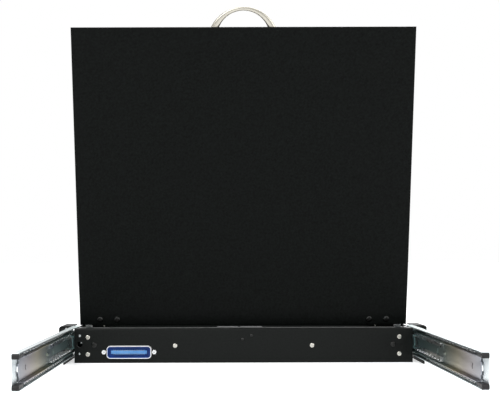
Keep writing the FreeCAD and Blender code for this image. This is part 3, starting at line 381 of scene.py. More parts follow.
FINISHES = (
    Finish("black_powder_coat", (0.003, 0.0038, 0.0034), (0.008, 0.0098, 0.009),
           rough=(0.46, 0.6), mottle=420.0, grain=1400.0, bump=0.5, specular=0.1),
    Finish("panel_powder_coat", (0.0012, 0.0018, 0.0015), (0.0052, 0.0068, 0.006),
           rough=(0.34, 0.44), mottle=420.0, grain=1400.0, bump=0.35, specular=0.14),
    Finish("lid_powder_coat", (0.0004, 0.0006, 0.0005), (0.0038, 0.005, 0.0045),
           rough=(0.38, 0.5), mottle=420.0, grain=1400.0, bump=0.5, specular=0.065),
    Finish("deck_powder_coat", (0.003, 0.0036, 0.0033), (0.0085, 0.01, 0.0092),
           rough=(0.6, 0.72), mottle=420.0, grain=1400.0, bump=0.5, specular=0.0),
    Finish("zinc_plate", (0.50, 0.53, 0.54), (0.62, 0.64, 0.64), metallic=1.0,
           rough=(0.24, 0.34), mottle=30.0, grain=900.0, bump=0.05,
           tint=((0.72, 0.8, 0.9), (0.9, 0.94, 0.92), (1.0, 0.96, 0.84), (0.98, 0.88, 0.94)),
           tint_scale=12.0),
    Finish("screw_zinc", (0.42, 0.41, 0.37), (0.62, 0.61, 0.56), metallic=1.0,
           rough=(0.2, 0.3), mottle=260.0, bump=0.04),
    # Slide finishes: zinc with painted reflections, light and dark along the members' length
    Finish("web_zinc_painted_reflections", (0.84, 0.85, 0.86), (0.96, 0.96, 0.96), metallic=0.9,
           rough=(0.32, 0.42), mottle=14.0, grain=500.0, bump=0.02, stretch=(1.0, 0.25, 1.0),
           painted_reflections=WEB_PAINTED_REFLECTIONS),
    Finish("outer_zinc_painted_reflections", (0.8, 0.82, 0.82), (0.92, 0.93, 0.93), metallic=0.9,
           rough=(0.26, 0.36), mottle=14.0, grain=500.0, bump=0.02, stretch=(1.0, 0.25, 1.0),
           painted_reflections=OUTER_PAINTED_REFLECTIONS),
    Finish("ball_steel", (0.86, 0.86, 0.87), (0.94, 0.94, 0.94), metallic=0.7,
           rough=(0.06, 0.14), mottle=300.0, bump=0.02),
    Finish("satin_nickel", (0.4, 0.38, 0.33), (0.48, 0.46, 0.4), metallic=1.0,
           rough=(0.2, 0.27), mottle=40.0, grain=1200.0, bump=0.03),
    Finish("bright_tin", (0.78, 0.79, 0.8), (0.88, 0.88, 0.88), metallic=0.85,
           rough=(0.3, 0.4), mottle=120.0, bump=0.04),
    Finish("black_plastic", (0.008, 0.008, 0.009), (0.014, 0.014, 0.015),
           rough=(0.4, 0.55), grain=1600.0, bump=0.25, specular=0.3),
    Finish("key_plastic", (0.012, 0.012, 0.013), (0.02, 0.02, 0.022),
           rough=(0.5, 0.62), mottle=80.0, grain=2500.0, bump=0.3, specular=0.35),
    Finish("blue_plastic", (0.01, 0.09, 0.42), (0.02, 0.14, 0.55),
           rough=(0.28, 0.4), mottle=90.0, bump=0.08),
    Finish("deep_blue_plastic", (0.005, 0.05, 0.26), (0.01, 0.08, 0.36),
           rough=(0.3, 0.42), mottle=90.0, bump=0.08, specular=0.3),
    Finish("pale_blue_plastic", (0.07, 0.24, 0.56), (0.13, 0.34, 0.68),
           rough=(0.34, 0.46), mottle=90.0, bump=0.08),
    Finish("contact_metal", (0.72, 0.52, 0.22), (0.86, 0.66, 0.32), metallic=1.0,
           rough=(0.2, 0.32), mottle=400.0, bump=0.05),
    Finish("circuit_board", (0.01, 0.09, 0.035), (0.02, 0.16, 0.06),
           rough=(0.3, 0.42), mottle=350.0, grain=700.0, bump=0.15),
    Finish("screen_glass", (0.9, 0.92, 0.92), (0.95, 0.96, 0.96),
           rough=(0.0, 0.03), mottle=20.0, bump=0.005, glassy=1.0),
    Finish("screen_module", (0.008, 0.008, 0.01), (0.014, 0.014, 0.017),
           rough=(0.3, 0.4), mottle=30.0, grain=2200.0, bump=0.08),
    Finish("black_screws", (0.022, 0.023, 0.022), (0.04, 0.041, 0.04), metallic=1.0,
           rough=(0.16, 0.26), mottle=200.0, grain=1800.0, bump=0.04),
)


@dataclass
class Palette:
    """All materials of the scene by slot name.

    Attributes:
        made: Materials that are ready, by the finish's name.
    """

    made: dict[str, bpy.types.Material] = field(default_factory=dict)

    def fill(self) -> None:
        """Builds every finish's material."""
        for finish in FINISHES:
            self.made[finish.name] = finish.material()

    def dress(self, thing: bpy.types.Object, finish: str) -> None:
        """Gives an object one finish.

        Args:
            thing: Object to dress.
            finish: Name of the finish.
        """
        thing.data.materials.clear()
        thing.data.materials.append(self.made[finish])

    def dress_nodes(self, frame: dict) -> None:
        """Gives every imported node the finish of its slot.
        """
        for row in frame["record"]["subparts"]:
            self.dress(frame["nodes"][row["node"]], row["material_slot"])
        # Inner rails: zinc with painted reflections along their length
        for side in SIDES:
            self.dress(frame["nodes"][side + "inner_rail"], "web_zinc_painted_reflections")


# --- mesh helpers


def focus(*things: bpy.types.Object) -> None:
    """Selects only the given objects, the first of them active.

    Args:
        things: Objects to work on.
    """
    if bpy.context.object and bpy.context.object.mode != "OBJECT":
        bpy.ops.object.mode_set(mode="OBJECT")
    bpy.ops.object.select_all(action="DESELECT")
    for thing in things:
        thing.select_set(True)
    bpy.context.view_layer.objects.active = things[0]


def pick(thing: bpy.types.Object, kind: Kind, test: Callable[[Vector], bool]) -> None:
    """Enters edit mode with the elements selected whose centres pass a test.

    Args:
        thing: Object to work on.
        kind: Kind of element.
        test: Test of an element's centre, in metres.
    """
    focus(thing)
    bpy.ops.object.mode_set(mode="EDIT")
    bpy.ops.mesh.select_mode(type=kind.value)
    bpy.ops.mesh.select_all(action="DESELECT")
    bpy.ops.object.mode_set(mode="OBJECT")
    mesh = thing.data
    if kind is Kind.FACE:
        for face in mesh.polygons:
            face.select = test(face.center)
    else:
        for edge in mesh.edges:
            ends = [mesh.vertices[index].co for index in edge.vertices]
            edge.select = test((ends[0] + ends[1]) / 2)
    bpy.ops.object.mode_set(mode="EDIT")


def leave() -> None:
    """Goes back to object mode."""
    bpy.ops.object.mode_set(mode="OBJECT")


def close_up(thing: bpy.types.Object, angle: float = 40.0) -> None:
    """Merges doubles, turns faces outwards and smooths shallow edges.

    Args:
        thing: Object to finish.
        angle: Largest angle between faces that shade smooth, in degrees.
    """
    focus(thing)
    bpy.ops.object.mode_set(mode="EDIT")
    bpy.ops.mesh.select_all(action="SELECT")
    bpy.ops.mesh.remove_doubles(threshold=MERGE)
    bpy.ops.mesh.normals_make_consistent(inside=False)
    leave()
    bpy.ops.object.shade_smooth_by_angle(angle=math.radians(angle))


def cut_out(thing: bpy.types.Object, cutter: bpy.types.Object) -> None:
    """Takes the cutter's volume out of an object and removes the cutter.

    Args:
        thing: Object to cut.
        cutter: Closed mesh to take away.
    """
    focus(thing)
    cut = thing.modifiers.new("recess", "BOOLEAN")
    cut.operation = "DIFFERENCE"
    cut.solver = "EXACT"
    cut.object = cutter
    bpy.ops.object.modifier_apply(modifier=cut.name)
    bpy.data.objects.remove(cutter)


def bar(low: Vector, high: Vector, name: str) -> bpy.types.Object:
    """Adds a block between two corners as the start of a piece.

    Args:
        low: Lowest corner.
        high: Highest corner.
        name: Name of the object.

    Returns:
        The new object, its place in its mesh.
    """
    bpy.ops.mesh.primitive_cube_add(size=1.0)
    block = bpy.context.object
    block.name = name
    block.data.transform(Matrix.Translation((low + high) / 2) @ Matrix.Diagonal((*(high - low), 1.0)))
    return block


def join(things: list[bpy.types.Object], name: str) -> bpy.types.Object:
    """Joins objects into one.

    Args:
        things: Objects to join.
        name: Name of the result.

    Returns:
        The joined object.
    """
    focus(*things)
    bpy.ops.object.join()
    joined = bpy.context.object
    joined.name = name
    return joined


def stamp(master: bpy.types.Object, places: list[Matrix], name: str) -> bpy.types.Object:
    """Copies a master to every place, each with its own mesh, and joins the copies.

    Args:
        master: Object to copy; it is removed.
        places: Where each copy goes.
        name: Name of the joined piece.

    Returns:
        The joined piece.
    """
    copies = []
    for place in places:
        copy = bpy.data.objects.new(name, master.data.copy())
        copy.data.transform(place)
        bpy.context.scene.collection.objects.link(copy)
        copies.append(copy)
    bpy.data.objects.remove(master)
    return join(copies, name)


def box_of(points: list[Vector]) -> tuple[Vector, Vector]:
    """Finds the box round some points.

    Args:
        points: The points.

    Returns:
        Lowest and highest corner.
    """
    low = Vector([min(point[axis] for point in points) for axis in range(3)])
    high = Vector([max(point[axis] for point in points) for axis in range(3)])
    return low, high


def separate_solids(node: bpy.types.Object) -> list[list[Vector]]:
    """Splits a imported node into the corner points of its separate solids.

    Args:
        node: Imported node.

    Returns:
        One list of points for each solid.
    """
    mesh = node.data
    heads = list(range(len(mesh.vertices)))

    def head(index: int) -> int:
        """Follows the chain that an index belongs to.

        Args:
            index: Index of a vertex.

        Returns:
            Index at the chain's head.
        """
        while heads[index] != index:
            index = heads[index]
        return index

    same_place: dict[tuple[float, ...], int] = {}
    for vertex in mesh.vertices:
        key = tuple(round(value, 6) for value in vertex.co)
        heads[head(vertex.index)] = head(same_place.setdefault(key, vertex.index))
    for face in mesh.polygons:
        for index in face.vertices[1:]:
            heads[head(index)] = head(face.vertices[0])
    solids: dict[int, list[Vector]] = {}
    for vertex in mesh.vertices:
        solids.setdefault(head(vertex.index), []).append(vertex.co.copy())
    return list(solids.values())


# --- workshop


@dataclass
class Workshop:
    """What every sub-assembly needs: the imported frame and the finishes.

    Attributes:
        palette: The finishes.
    """

    frame: dict
    palette: Palette

    def node(self, name: str) -> bpy.types.Object:
        """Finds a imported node.

        Args:
            name: Name of the node.

        Returns:
            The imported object.
        """
        return self.frame["nodes"][name]

    def body_of(self, node: str) -> str:
        """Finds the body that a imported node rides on.

        Args:
            node: Name of the node.

        Returns:
            Name of the body.
        """
        bodies = self.frame["record"]["behaviour"]["bodies"]
        return next(body for body, members in bodies.items() if node in members)

    def slot_of(self, node: str) -> str:
        """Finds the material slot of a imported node.

        Args:
            node: Name of the node.

        Returns:
            Name of the slot.
        """
        rows = self.frame["record"]["subparts"]
        return next(row["material_slot"] for row in rows if row["node"] == node)

    def hand_over(self, piece: bpy.types.Object, node: str, finish: str = "") -> None:
        """Dresses a finished piece, puts it on its body and hides the node.

        Args:
            piece: Finished piece.
            node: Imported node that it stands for.
            finish: Finish of the piece, if it isn't that of the node's slot.
        """
        slot = self.slot_of(node)
        self.palette.dress(piece, finish or slot)
        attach(piece, self.body_of(node))
        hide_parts(node)
        log.info("%s stands for %s: %d faces", piece.name, node, len(piece.data.polygons))


def softened_copy(node: bpy.types.Object, width: float, segments: int) -> bpy.types.Object:
    """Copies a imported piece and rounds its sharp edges.

    Args:
        node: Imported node.
        width: Width of the rounding, in metres.
        segments: Steps of the rounding.

    Returns:
        The rounded copy.
    """
    copy = bpy.data.objects.new(node.name + "_softened", node.data.copy())
    bpy.context.scene.collection.objects.link(copy)
    focus(copy)
    bpy.ops.object.mode_set(mode="EDIT")
    bpy.ops.mesh.select_all(action="SELECT")
    bpy.ops.mesh.remove_doubles(threshold=MERGE)
    bpy.ops.mesh.customdata_custom_splitnormals_clear()
    bpy.ops.mesh.dissolve_limited(angle_limit=FLAT)
    leave()
    rounding = copy.modifiers.new("rounding", "BEVEL")
    rounding.width = width
    rounding.segments = segments
    rounding.limit_method = "ANGLE"
    rounding.angle_limit = SHARP
    bpy.ops.object.modifier_apply(modifier=rounding.name)
    close_up(copy, 20.0)
    return copy


@dataclass(frozen=True)
class Softened:
    """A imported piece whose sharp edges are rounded.

    Attributes:
        node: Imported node.
        width: Width of the rounding, in metres.
        segments: Steps of the rounding.
        finish: Finish, if it isn't that of the node's slot.
    """

    node: str
    width: float
    segments: int = 2
    finish: str = ""

    def build(self, shop: Workshop) -> None:
        """Makes the rounded copy.

        Args:
            shop: The shared workshop.
        """
        copy = softened_copy(shop.node(self.node), self.width, self.segments)
        shop.hand_over(copy, self.node, self.finish)


@dataclass(frozen=True)
class RailMember:
    """One slide member of each side, its edges softened and its sight hole bored.

    Attributes:
        member: Node's name without its side.
        width: Width of the rounding, in metres.
        finish: Finish of the member.
        holes: Bored holes: place along Y, height and radius, in metres.
        trim: Height taken off the lips' free edges, in metres.
        lip: Depth and height of the lips before they are trimmed, in metres.
    """

    member: str
    width: float
    finish: str
    holes: tuple[Triple, ...] = ()
    trim: float = 0.0
    lip: tuple[float, float] = (0.00125, 0.0025)

    def build(self, shop: Workshop) -> None:
        """Makes both sides' members.

        Args:
            shop: The shared workshop.
        """
        for side in SIDES:
            piece = softened_copy(shop.node(side + self.member), self.width, 2)
            low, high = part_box(side + self.member)
            for y, z, radius in self.holes:
                middle = Vector(((low.x + high.x) / 2, y, z))
                length = 3 * (high.x - low.x)
                bpy.ops.mesh.primitive_cylinder_add(vertices=ROUND_SIDES, radius=radius, depth=length)
                bore = bpy.context.object
                bore.data.transform(Matrix.Translation(middle) @ Matrix.Rotation(math.pi / 2, 4, "Y"))
                cut_out(piece, bore)
            if self.trim:
                self._trim_lips(piece, low, high)
            close_up(piece, 20.0)
            shop.hand_over(piece, side + self.member, self.finish)

    def _trim_lips(self, piece: bpy.types.Object, low: Vector, high: Vector) -> None:
        """Shortens the lips, so that the balls show.

        Args:
            piece: Slide member.
            low: Lowest corner of the member.
            high: Highest corner of the member.
        """
        depth, height = self.lip
        inner = low.x if low.x > 0 else high.x
        x = sorted((inner - math.copysign(depth, inner), inner + math.copysign(depth, inner)))
        for edge, way in ((high.z, -1), (low.z, 1)):
            z = sorted((edge + way * (height - self.trim), edge + way * (height + self.trim)))
            near, far = Vector((x[0], low.y - depth, z[0])), Vector((x[1], high.y + depth, z[1]))
            cut_out(piece, bar(near, far, "cutter"))


# --- screws


@dataclass(frozen=True)
class Screws:
    """All the cross-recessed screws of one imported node.

    Attributes:
        node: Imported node.
        out: Direction out of the heads.
        mirrored: Whether the heads of the other side face the other way.
        cross: Half length, half width and floor of the recess, as shares of the head's size.
        crown: Share of the head's height that is rounded off.
        finish: Finish, if it isn't that of the node's slot.
    """

    node: str
    out: Triple
    mirrored: bool = False
    cross: Triple = (0.6, 0.15, 0.12)
    crown: float = 0.6
    finish: str = ""

    def build(self, shop: Workshop) -> None:
        """Replaces the node's plain screws.

        Args:
            shop: The shared workshop.
        """
        sizes: dict[tuple[float, ...], list[Matrix]] = {}
        for points in separate_solids(shop.node(self.node)):
            size, place = self._measured(points)
            sizes.setdefault(size, []).append(place)
        made = [stamp(self._screw(*size), places, self.node) for size, places in sizes.items()]
        shop.hand_over(join(made, self.node + "_turned"), self.node, self.finish)

    def _measured(self, points: list[Vector]) -> tuple[tuple[float, ...], Matrix]:
        """Finds the sizes and the place of one plain screw.

        Args:
            points: Corners of the plain screw.

        Returns:
            Head radius, head height, shank radius and shank length, and the seat's place.
        """
        out = Vector(self.out).normalized()
        if self.mirrored and points[0].x < 0:
            out.x = -out.x
        heights = [point.dot(out) for point in points]
        top, foot = max(heights), min(heights)
        crown = [point for point, height in zip(points, heights) if top - height < LEVEL]
        middle = (box_of(crown)[0] + box_of(crown)[1]) / 2
        reaches = [((point - middle) - out * (point - middle).dot(out)).length for point in points]
        radius = max(reaches)
        seat = min(height for height, reach in zip(heights, reaches) if reach > 0.98 * radius)
        shank = max(reach for height, reach in zip(heights, reaches) if height < foot + LEVEL)
        size = tuple(round(value, 4) for value in (radius, top - seat, shank, seat - foot))
        turn = out.to_track_quat("Z", "Y").to_matrix().to_4x4()
        return size, Matrix.Translation(middle - out * (top - seat)) @ turn

    def _screw(self, radius: float, height: float, shank: float, length: float) -> bpy.types.Object:
        """Models one screw with its seat at the origin and its head towards +Z.

        Args:
            radius: Radius of the head.
            height: Height of the head.
            shank: Radius of the shank.
            length: Length of the shank.

        Returns:
            The screw.
        """
        bpy.ops.mesh.primitive_cylinder_add(vertices=ROUND_SIDES, radius=radius, depth=height)
        screw = bpy.context.object
        screw.data.transform(Matrix.Translation((0.0, 0.0, height / 2)))
        pick(screw, Kind.EDGE, lambda centre: centre.z > height * 0.99)
        bpy.ops.mesh.bevel(offset=height * self.crown, segments=3, affect="EDGES")
        leave()
        long, thin = radius * self.cross[0], radius * self.cross[1]
        for x, y in ((long, thin), (thin, long)):
            low, high = Vector((-x, -y, height * self.cross[2])), Vector((x, y, height * 2))
            cut_out(screw, bar(low, high, "cutter"))
        pick(screw, Kind.FACE, lambda centre: centre.z < LEVEL)
        bpy.ops.mesh.inset(thickness=radius - shank)
        bpy.ops.mesh.extrude_region_move(TRANSFORM_OT_translate={"value": (0.0, 0.0, -length)})
        close_up(screw)
        return screw


# --- slides


@dataclass(frozen=True)
class BallRows:
    """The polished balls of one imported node.

    Attributes:
        node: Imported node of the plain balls.
    """

    node: str

    def build(self, shop: Workshop) -> None:
        """Replaces the plain balls by round ones.

        Args:
            shop: The shared workshop.
        """
        boxes = [box_of(points) for points in separate_solids(shop.node(self.node))]
        radius = max((high - low).z for low, high in boxes) / 2
        ball = bar(Vector((-1, -1, -1)), Vector((1, 1, 1)), "ball")
        pick(ball, Kind.FACE, lambda centre: True)
        bpy.ops.mesh.subdivide(number_cuts=2)
        bpy.ops.transform.tosphere(value=1.0)
        leave()
        reach = max(vertex.co.length for vertex in ball.data.vertices)
        ball.data.transform(Matrix.Scale(radius / reach, 4))
        close_up(ball, 60.0)
        places = [Matrix.Translation((low + high) / 2) for low, high in boxes]
        shop.hand_over(stamp(ball, places, self.node + "_round"), self.node)


# --- keyboard


@dataclass(frozen=True)
class KeyRow:
    """One row of keycaps with dished tops.

    Attributes:
        node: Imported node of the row.
        cap: Height of a keycap without its stem.
        taper: How much smaller the top is than the foot, each side.
        ends: How much smaller it is front to rear, both edges together, in tapers.
        lean: How far the top stands towards the rear.
        stem: Half the width of the stem.
        rounding: Rounding of the cap's edges.
        dish: Two steps of the dish: width of the step and its depth.
    """

    node: str
    cap: float = 0.005
    taper: float = 0.0022
    ends: float = 1.6
    lean: float = 0.0005
    stem: float = 0.002
    rounding: float = 0.0007
    dish: tuple[tuple[float, float], ...] = ((0.0012, 0.00018), (0.0028, 0.00022))

    def build(self, shop: Workshop) -> None:
        """Replaces the row's plain keycaps.

        Args:
            shop: The shared workshop.
        """
        sizes: dict[tuple[float, ...], list[Matrix]] = {}
        for points in separate_solids(shop.node(self.node)):
            low, high = box_of(points)
            size = tuple(round(value, 4) for value in high - low)
            top = Vector(((low.x + high.x) / 2, (low.y + high.y) / 2, high.z))
            sizes.setdefault(size, []).append(Matrix.Translation(top))
        rows = [stamp(self._keycap(*size), places, self.node) for size, places in sizes.items()]
        shop.hand_over(join(rows, self.node + "_dished"), self.node)

    def _keycap(self, width: float, depth: float, height: float) -> bpy.types.Object:
        """Models one keycap with the middle of its top at the origin.

        Args:
            width: Width of the foot.
            depth: Depth of the foot.
            height: Height with the stem.

        Returns:
            The keycap.
        """
        cap = bar(Vector((-width / 2, -depth / 2, -self.cap)), Vector((width / 2, depth / 2, 0.0)), "cap")
        pick(cap, Kind.FACE, lambda centre: centre.z > -LEVEL)
        narrow = ((width - 2 * self.taper) / width, (depth - self.ends * self.taper) / depth, 1.0)
        bpy.ops.transform.resize(value=narrow, center_override=(0.0, 0.0, 0.0))
        bpy.ops.transform.translate(value=(0.0, self.lean, 0.0))
        leave()
        pick(cap, Kind.EDGE, lambda centre: centre.z > -self.cap + LEVEL)
        bpy.ops.mesh.bevel(offset=self.rounding, segments=3, affect="EDGES")
        leave()
        for step, drop in self.dish:
            tops = [face for face in cap.data.polygons if face.normal.z > 0.99]
            middle = max(tops, key=lambda face: face.area).center.copy()
            pick(cap, Kind.FACE, lambda centre: (centre - middle).length < LEVEL / 10)
            bpy.ops.mesh.inset(thickness=step, depth=-drop)
            leave()
        low, high = Vector((-self.stem, -self.stem, -height)), Vector((self.stem, self.stem, -self.cap * 0.9))
        whole = join([cap, bar(low, high, "stem")], "keycap")
        close_up(whole, 50.0)
        return whole


# --- lid


@dataclass(frozen=True)
class BowHandle:
    """Bow handle with an even, rounded section.

    Attributes:
        node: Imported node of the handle.
        shoulder: Radius of a shoulder, as a share of the bow's rise.
        steps: Sections on each shoulder and on half the crown.
        square: How square the section is; 1 is round.
    """

    node: str = "pull_handle"
    shoulder: float = 0.05
    steps: int = 8
    square: float = 0.55

    def build(self, shop: Workshop) -> None:
        """Replaces the handle.

        Args:
            shop: The shared workshop.
        """
        opened = Matrix.Rotation(LID_TURN, 4, "X")
        points = [opened.inverted() @ vertex.co for vertex in shop.node(self.node).data.vertices]
        low, high = box_of(points)
        foot = [point for point in points if point.y > high.y - LEVEL]
        inner_half = min(abs(point.x) for point in foot)
        crown = [point.y for point in points if abs(point.x) < LEVEL]
        outer = (high.x, high.y - low.y)
        inner = (inner_half, high.y - max(y for y in crown if y < high.y - LEVEL))
        base = Vector((0.0, high.y, (low.z + high.z) / 2))
        half_depth = (high.z - low.z) / 2
        places = []
        for angle in self._angles(*outer):
            far, near = self._arch(*outer, angle), self._arch(*inner, angle)
            middle, half = base + (far + near) / 2, (far - near) / 2
            ahead = half.cross(Vector((0.0, 0.0, 1.0))).normalized()
            columns = Matrix((half, Vector((0.0, 0.0, half_depth)), ahead)).transposed().to_4x4()
            places.append(opened @ Matrix.Translation(middle) @ columns)
        bow = stamp(self._section(), places, self.node + "_bow")
        pick(bow, Kind.EDGE, lambda centre: True)
        bpy.ops.mesh.bridge_edge_loops()
        bpy.ops.mesh.select_all(action="SELECT")
        bpy.ops.mesh.fill_holes(sides=0)
        leave()
        close_up(bow, 60.0)
        shop.hand_over(bow, self.node)

    def _section(self) -> bpy.types.Object:
        """Models the rounded section as a loop one unit in radius.

        Returns:
            The loop.
        """
        bpy.ops.mesh.primitive_circle_add(vertices=ROUND_SIDES, radius=1.0)
        loop = bpy.context.object
        for vertex in loop.data.vertices:
            for axis in (0, 1):
                value = vertex.co[axis]
                vertex.co[axis] = math.copysign(abs(value) ** self.square, value)
        return loop

    def _turn(self, half: float, rise: float) -> tuple[float, float]:
        """Finds the crown of an arch.

        Args:
            half: Half the span.
            rise: Rise of the arch.

        Returns:
            Radius of the crown and the angle at which it meets the shoulder.
        """
        small = rise * self.shoulder
        crown = (half ** 2 + rise ** 2 - 2 * half * small) / (2 * (rise - small))
        return crown, math.atan2(half - small, crown - rise)

    def _angles(self, half: float, rise: float) -> list[float]:
        """Lists the angles of the sections, closer where the bow bends more.

        Args:
            half: Half the span.
            rise: Rise of the arch.

        Returns:
            Angles from one foot to the other.
        """
        turn = self._turn(half, rise)[1]
        shoulder = [math.pi / 2 - (math.pi / 2 - turn) * step / self.steps for step in range(self.steps)]
        crown = [turn - turn * step / self.steps for step in range(self.steps)]
        side = shoulder + crown
        return side + [0.0] + [-angle for angle in reversed(side)]

    def _arch(self, half: float, rise: float, angle: float) -> Vector:
        """Finds the point of an arch where its normal has an angle.

        Args:
            half: Half the span.
            rise: Rise of the arch.
            angle: Angle of the normal from the crown's.

        Returns:
            The point, from the middle of the feet.
        """
        crown, turn = self._turn(half, rise)
        if abs(angle) <= turn:
            return Vector((crown * math.sin(angle), crown - rise - crown * math.cos(angle), 0.0))
        small = rise * self.shoulder
        centre = math.copysign(half - small, angle)
        return Vector((centre + small * math.sin(angle), -small * math.cos(angle), 0.0))


# --- connector


@dataclass(frozen=True)
class RibbonReceptacle:
    """Insulator of the ribbon receptacle: a dark trough round a toothed tongue.

    Attributes:
        node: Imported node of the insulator.
        wall: Thickness of the trough's wall.
        corner: Rounding of the trough's outline.
        depth: Depth of the trough.
        columns: Contacts on each face of the tongue.
        pitch: Distance between contacts.
        tongue: Half width and half height of the tongue.
        short: How far the tongue ends inside the trough's mouth.
        edge: Rounding of the tongue's tip.
        rib: Half width of a rib, its root in the tongue, its height and how far it ends from the tip.
    """

    node: str = "connector_insert"
    wall: float = 0.0005
    corner: float = 0.0036
    depth: float = 0.0062
    columns: int = 18
    pitch: float = 0.00216
    tongue: tuple[float, float] = (0.0225, 0.0021)
    short: float = 0.0004
    edge: float = 0.0005
    rib: tuple[float, float, float, float] = (0.00035, 0.0002, 0.0009, 0.0008)

    def build(self, shop: Workshop) -> None:
        """Replaces the insulator.

        Args:
            shop: The shared workshop.
        """
        low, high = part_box(self.node)
        trough = bar(low, high, self.node + "_trough")
        middle = (low + high) / 2
        pick(trough, Kind.EDGE, lambda centre: abs(centre.y - middle.y) < LEVEL)
        bpy.ops.mesh.bevel(offset=self.corner, segments=5, affect="EDGES")
        leave()
        pick(trough, Kind.FACE, lambda centre: centre.y > high.y - LEVEL)
        bpy.ops.mesh.inset(thickness=self.wall)
        bpy.ops.mesh.extrude_region_move(TRANSFORM_OT_translate={"value": (0.0, -self.depth, 0.0)})
        leave()
        close_up(trough)
        shop.hand_over(trough, self.node, "deep_blue_plastic")
        tongue = self._toothed(middle, high.y - self.depth, high.y - self.short)
        shop.hand_over(tongue, self.node, "pale_blue_plastic")

    def _toothed(self, middle: Vector, floor: float, tip: float) -> bpy.types.Object:
        """Models the tongue with a rib between every two contacts.

        Args:
            middle: Middle of the insulator.
            floor: Where the tongue starts, along Y.
            tip: Where the tongue ends.

        Returns:
            The tongue.
        """
        wide, thick = self.tongue
        low = Vector((middle.x - wide, floor, middle.z - thick))
        blade = bar(low, Vector((middle.x + wide, tip, middle.z + thick)), "blade")
        pick(blade, Kind.EDGE, lambda centre: centre.y > tip - LEVEL)
        bpy.ops.mesh.bevel(offset=self.edge, segments=2, affect="EDGES")
        leave()
        half, root, stand, gap_at_tip = self.rib
        ribs = []
        for gap in range(self.columns + 1):
            x = middle.x + (gap - self.columns / 2) * self.pitch
            for side in (-1, 1):
                face = middle.z + side * thick
                ends = sorted((face - side * root, face + side * stand))
                near, far = Vector((x - half, floor, ends[0])), Vector((x + half, tip - gap_at_tip, ends[1]))
                ribs.append(bar(near, far, "rib"))
        whole = join([blade, *ribs], self.node + "_tongue")
        close_up(whole)
        return whole


# --- studio


@dataclass(frozen=True)
class SoftLight:
    """A large area light.

    Attributes:
        name: Name of the light.
        place: Where it hangs, in metres.
        aim: Point that it faces.
        size: Width and height.
        power: Power in watts.
    """

    name: str
    place: Triple
    aim: Triple
    size: tuple[float, float]
    power: float

    def hang(self) -> None:
        """Adds the light to the scene."""
        data = bpy.data.lights.new(self.name, "AREA")
        data.shape = "RECTANGLE"
        data.size, data.size_y = self.size
        data.energy = self.power
        lamp = bpy.data.objects.new(self.name, data)
        lamp.location = self.place
        way = Vector(self.aim) - Vector(self.place)
        lamp.rotation_mode = "QUATERNION"
        lamp.rotation_quaternion = way.to_track_quat("-Z", "Y")
        bpy.context.scene.collection.objects.link(lamp)


@dataclass(frozen=True)
class Viewpoint:
    """The main camera.

    Attributes:
        place: Where the camera stands, in metres.
        roll: Roll about the view's axis, in degrees.
        lens: Focal length in millimetres on a 36 mm sensor.
        shift: Shift of the lens, as a share of the picture's width.
    """

    place: Triple = (0.0243, 1.4062, 0.1103)
    roll: float = 0.16
    lens: float = 77.19
    shift: tuple[float, float] = (0.0518, 0.1166)

    def set_up(self) -> None:
        """Adds the camera and makes it the scene's."""
        data = bpy.data.cameras.new("main_camera")
        data.sensor_width = 36.0
        data.lens = self.lens
        data.shift_x, data.shift_y = self.shift
        camera = bpy.data.objects.new("main_camera", data)
        camera.location = self.place
        camera.rotation_euler = (math.radians(90.0), math.radians(self.roll), math.radians(180.0))
        bpy.context.scene.collection.objects.link(camera)
        bpy.context.scene.camera = camera


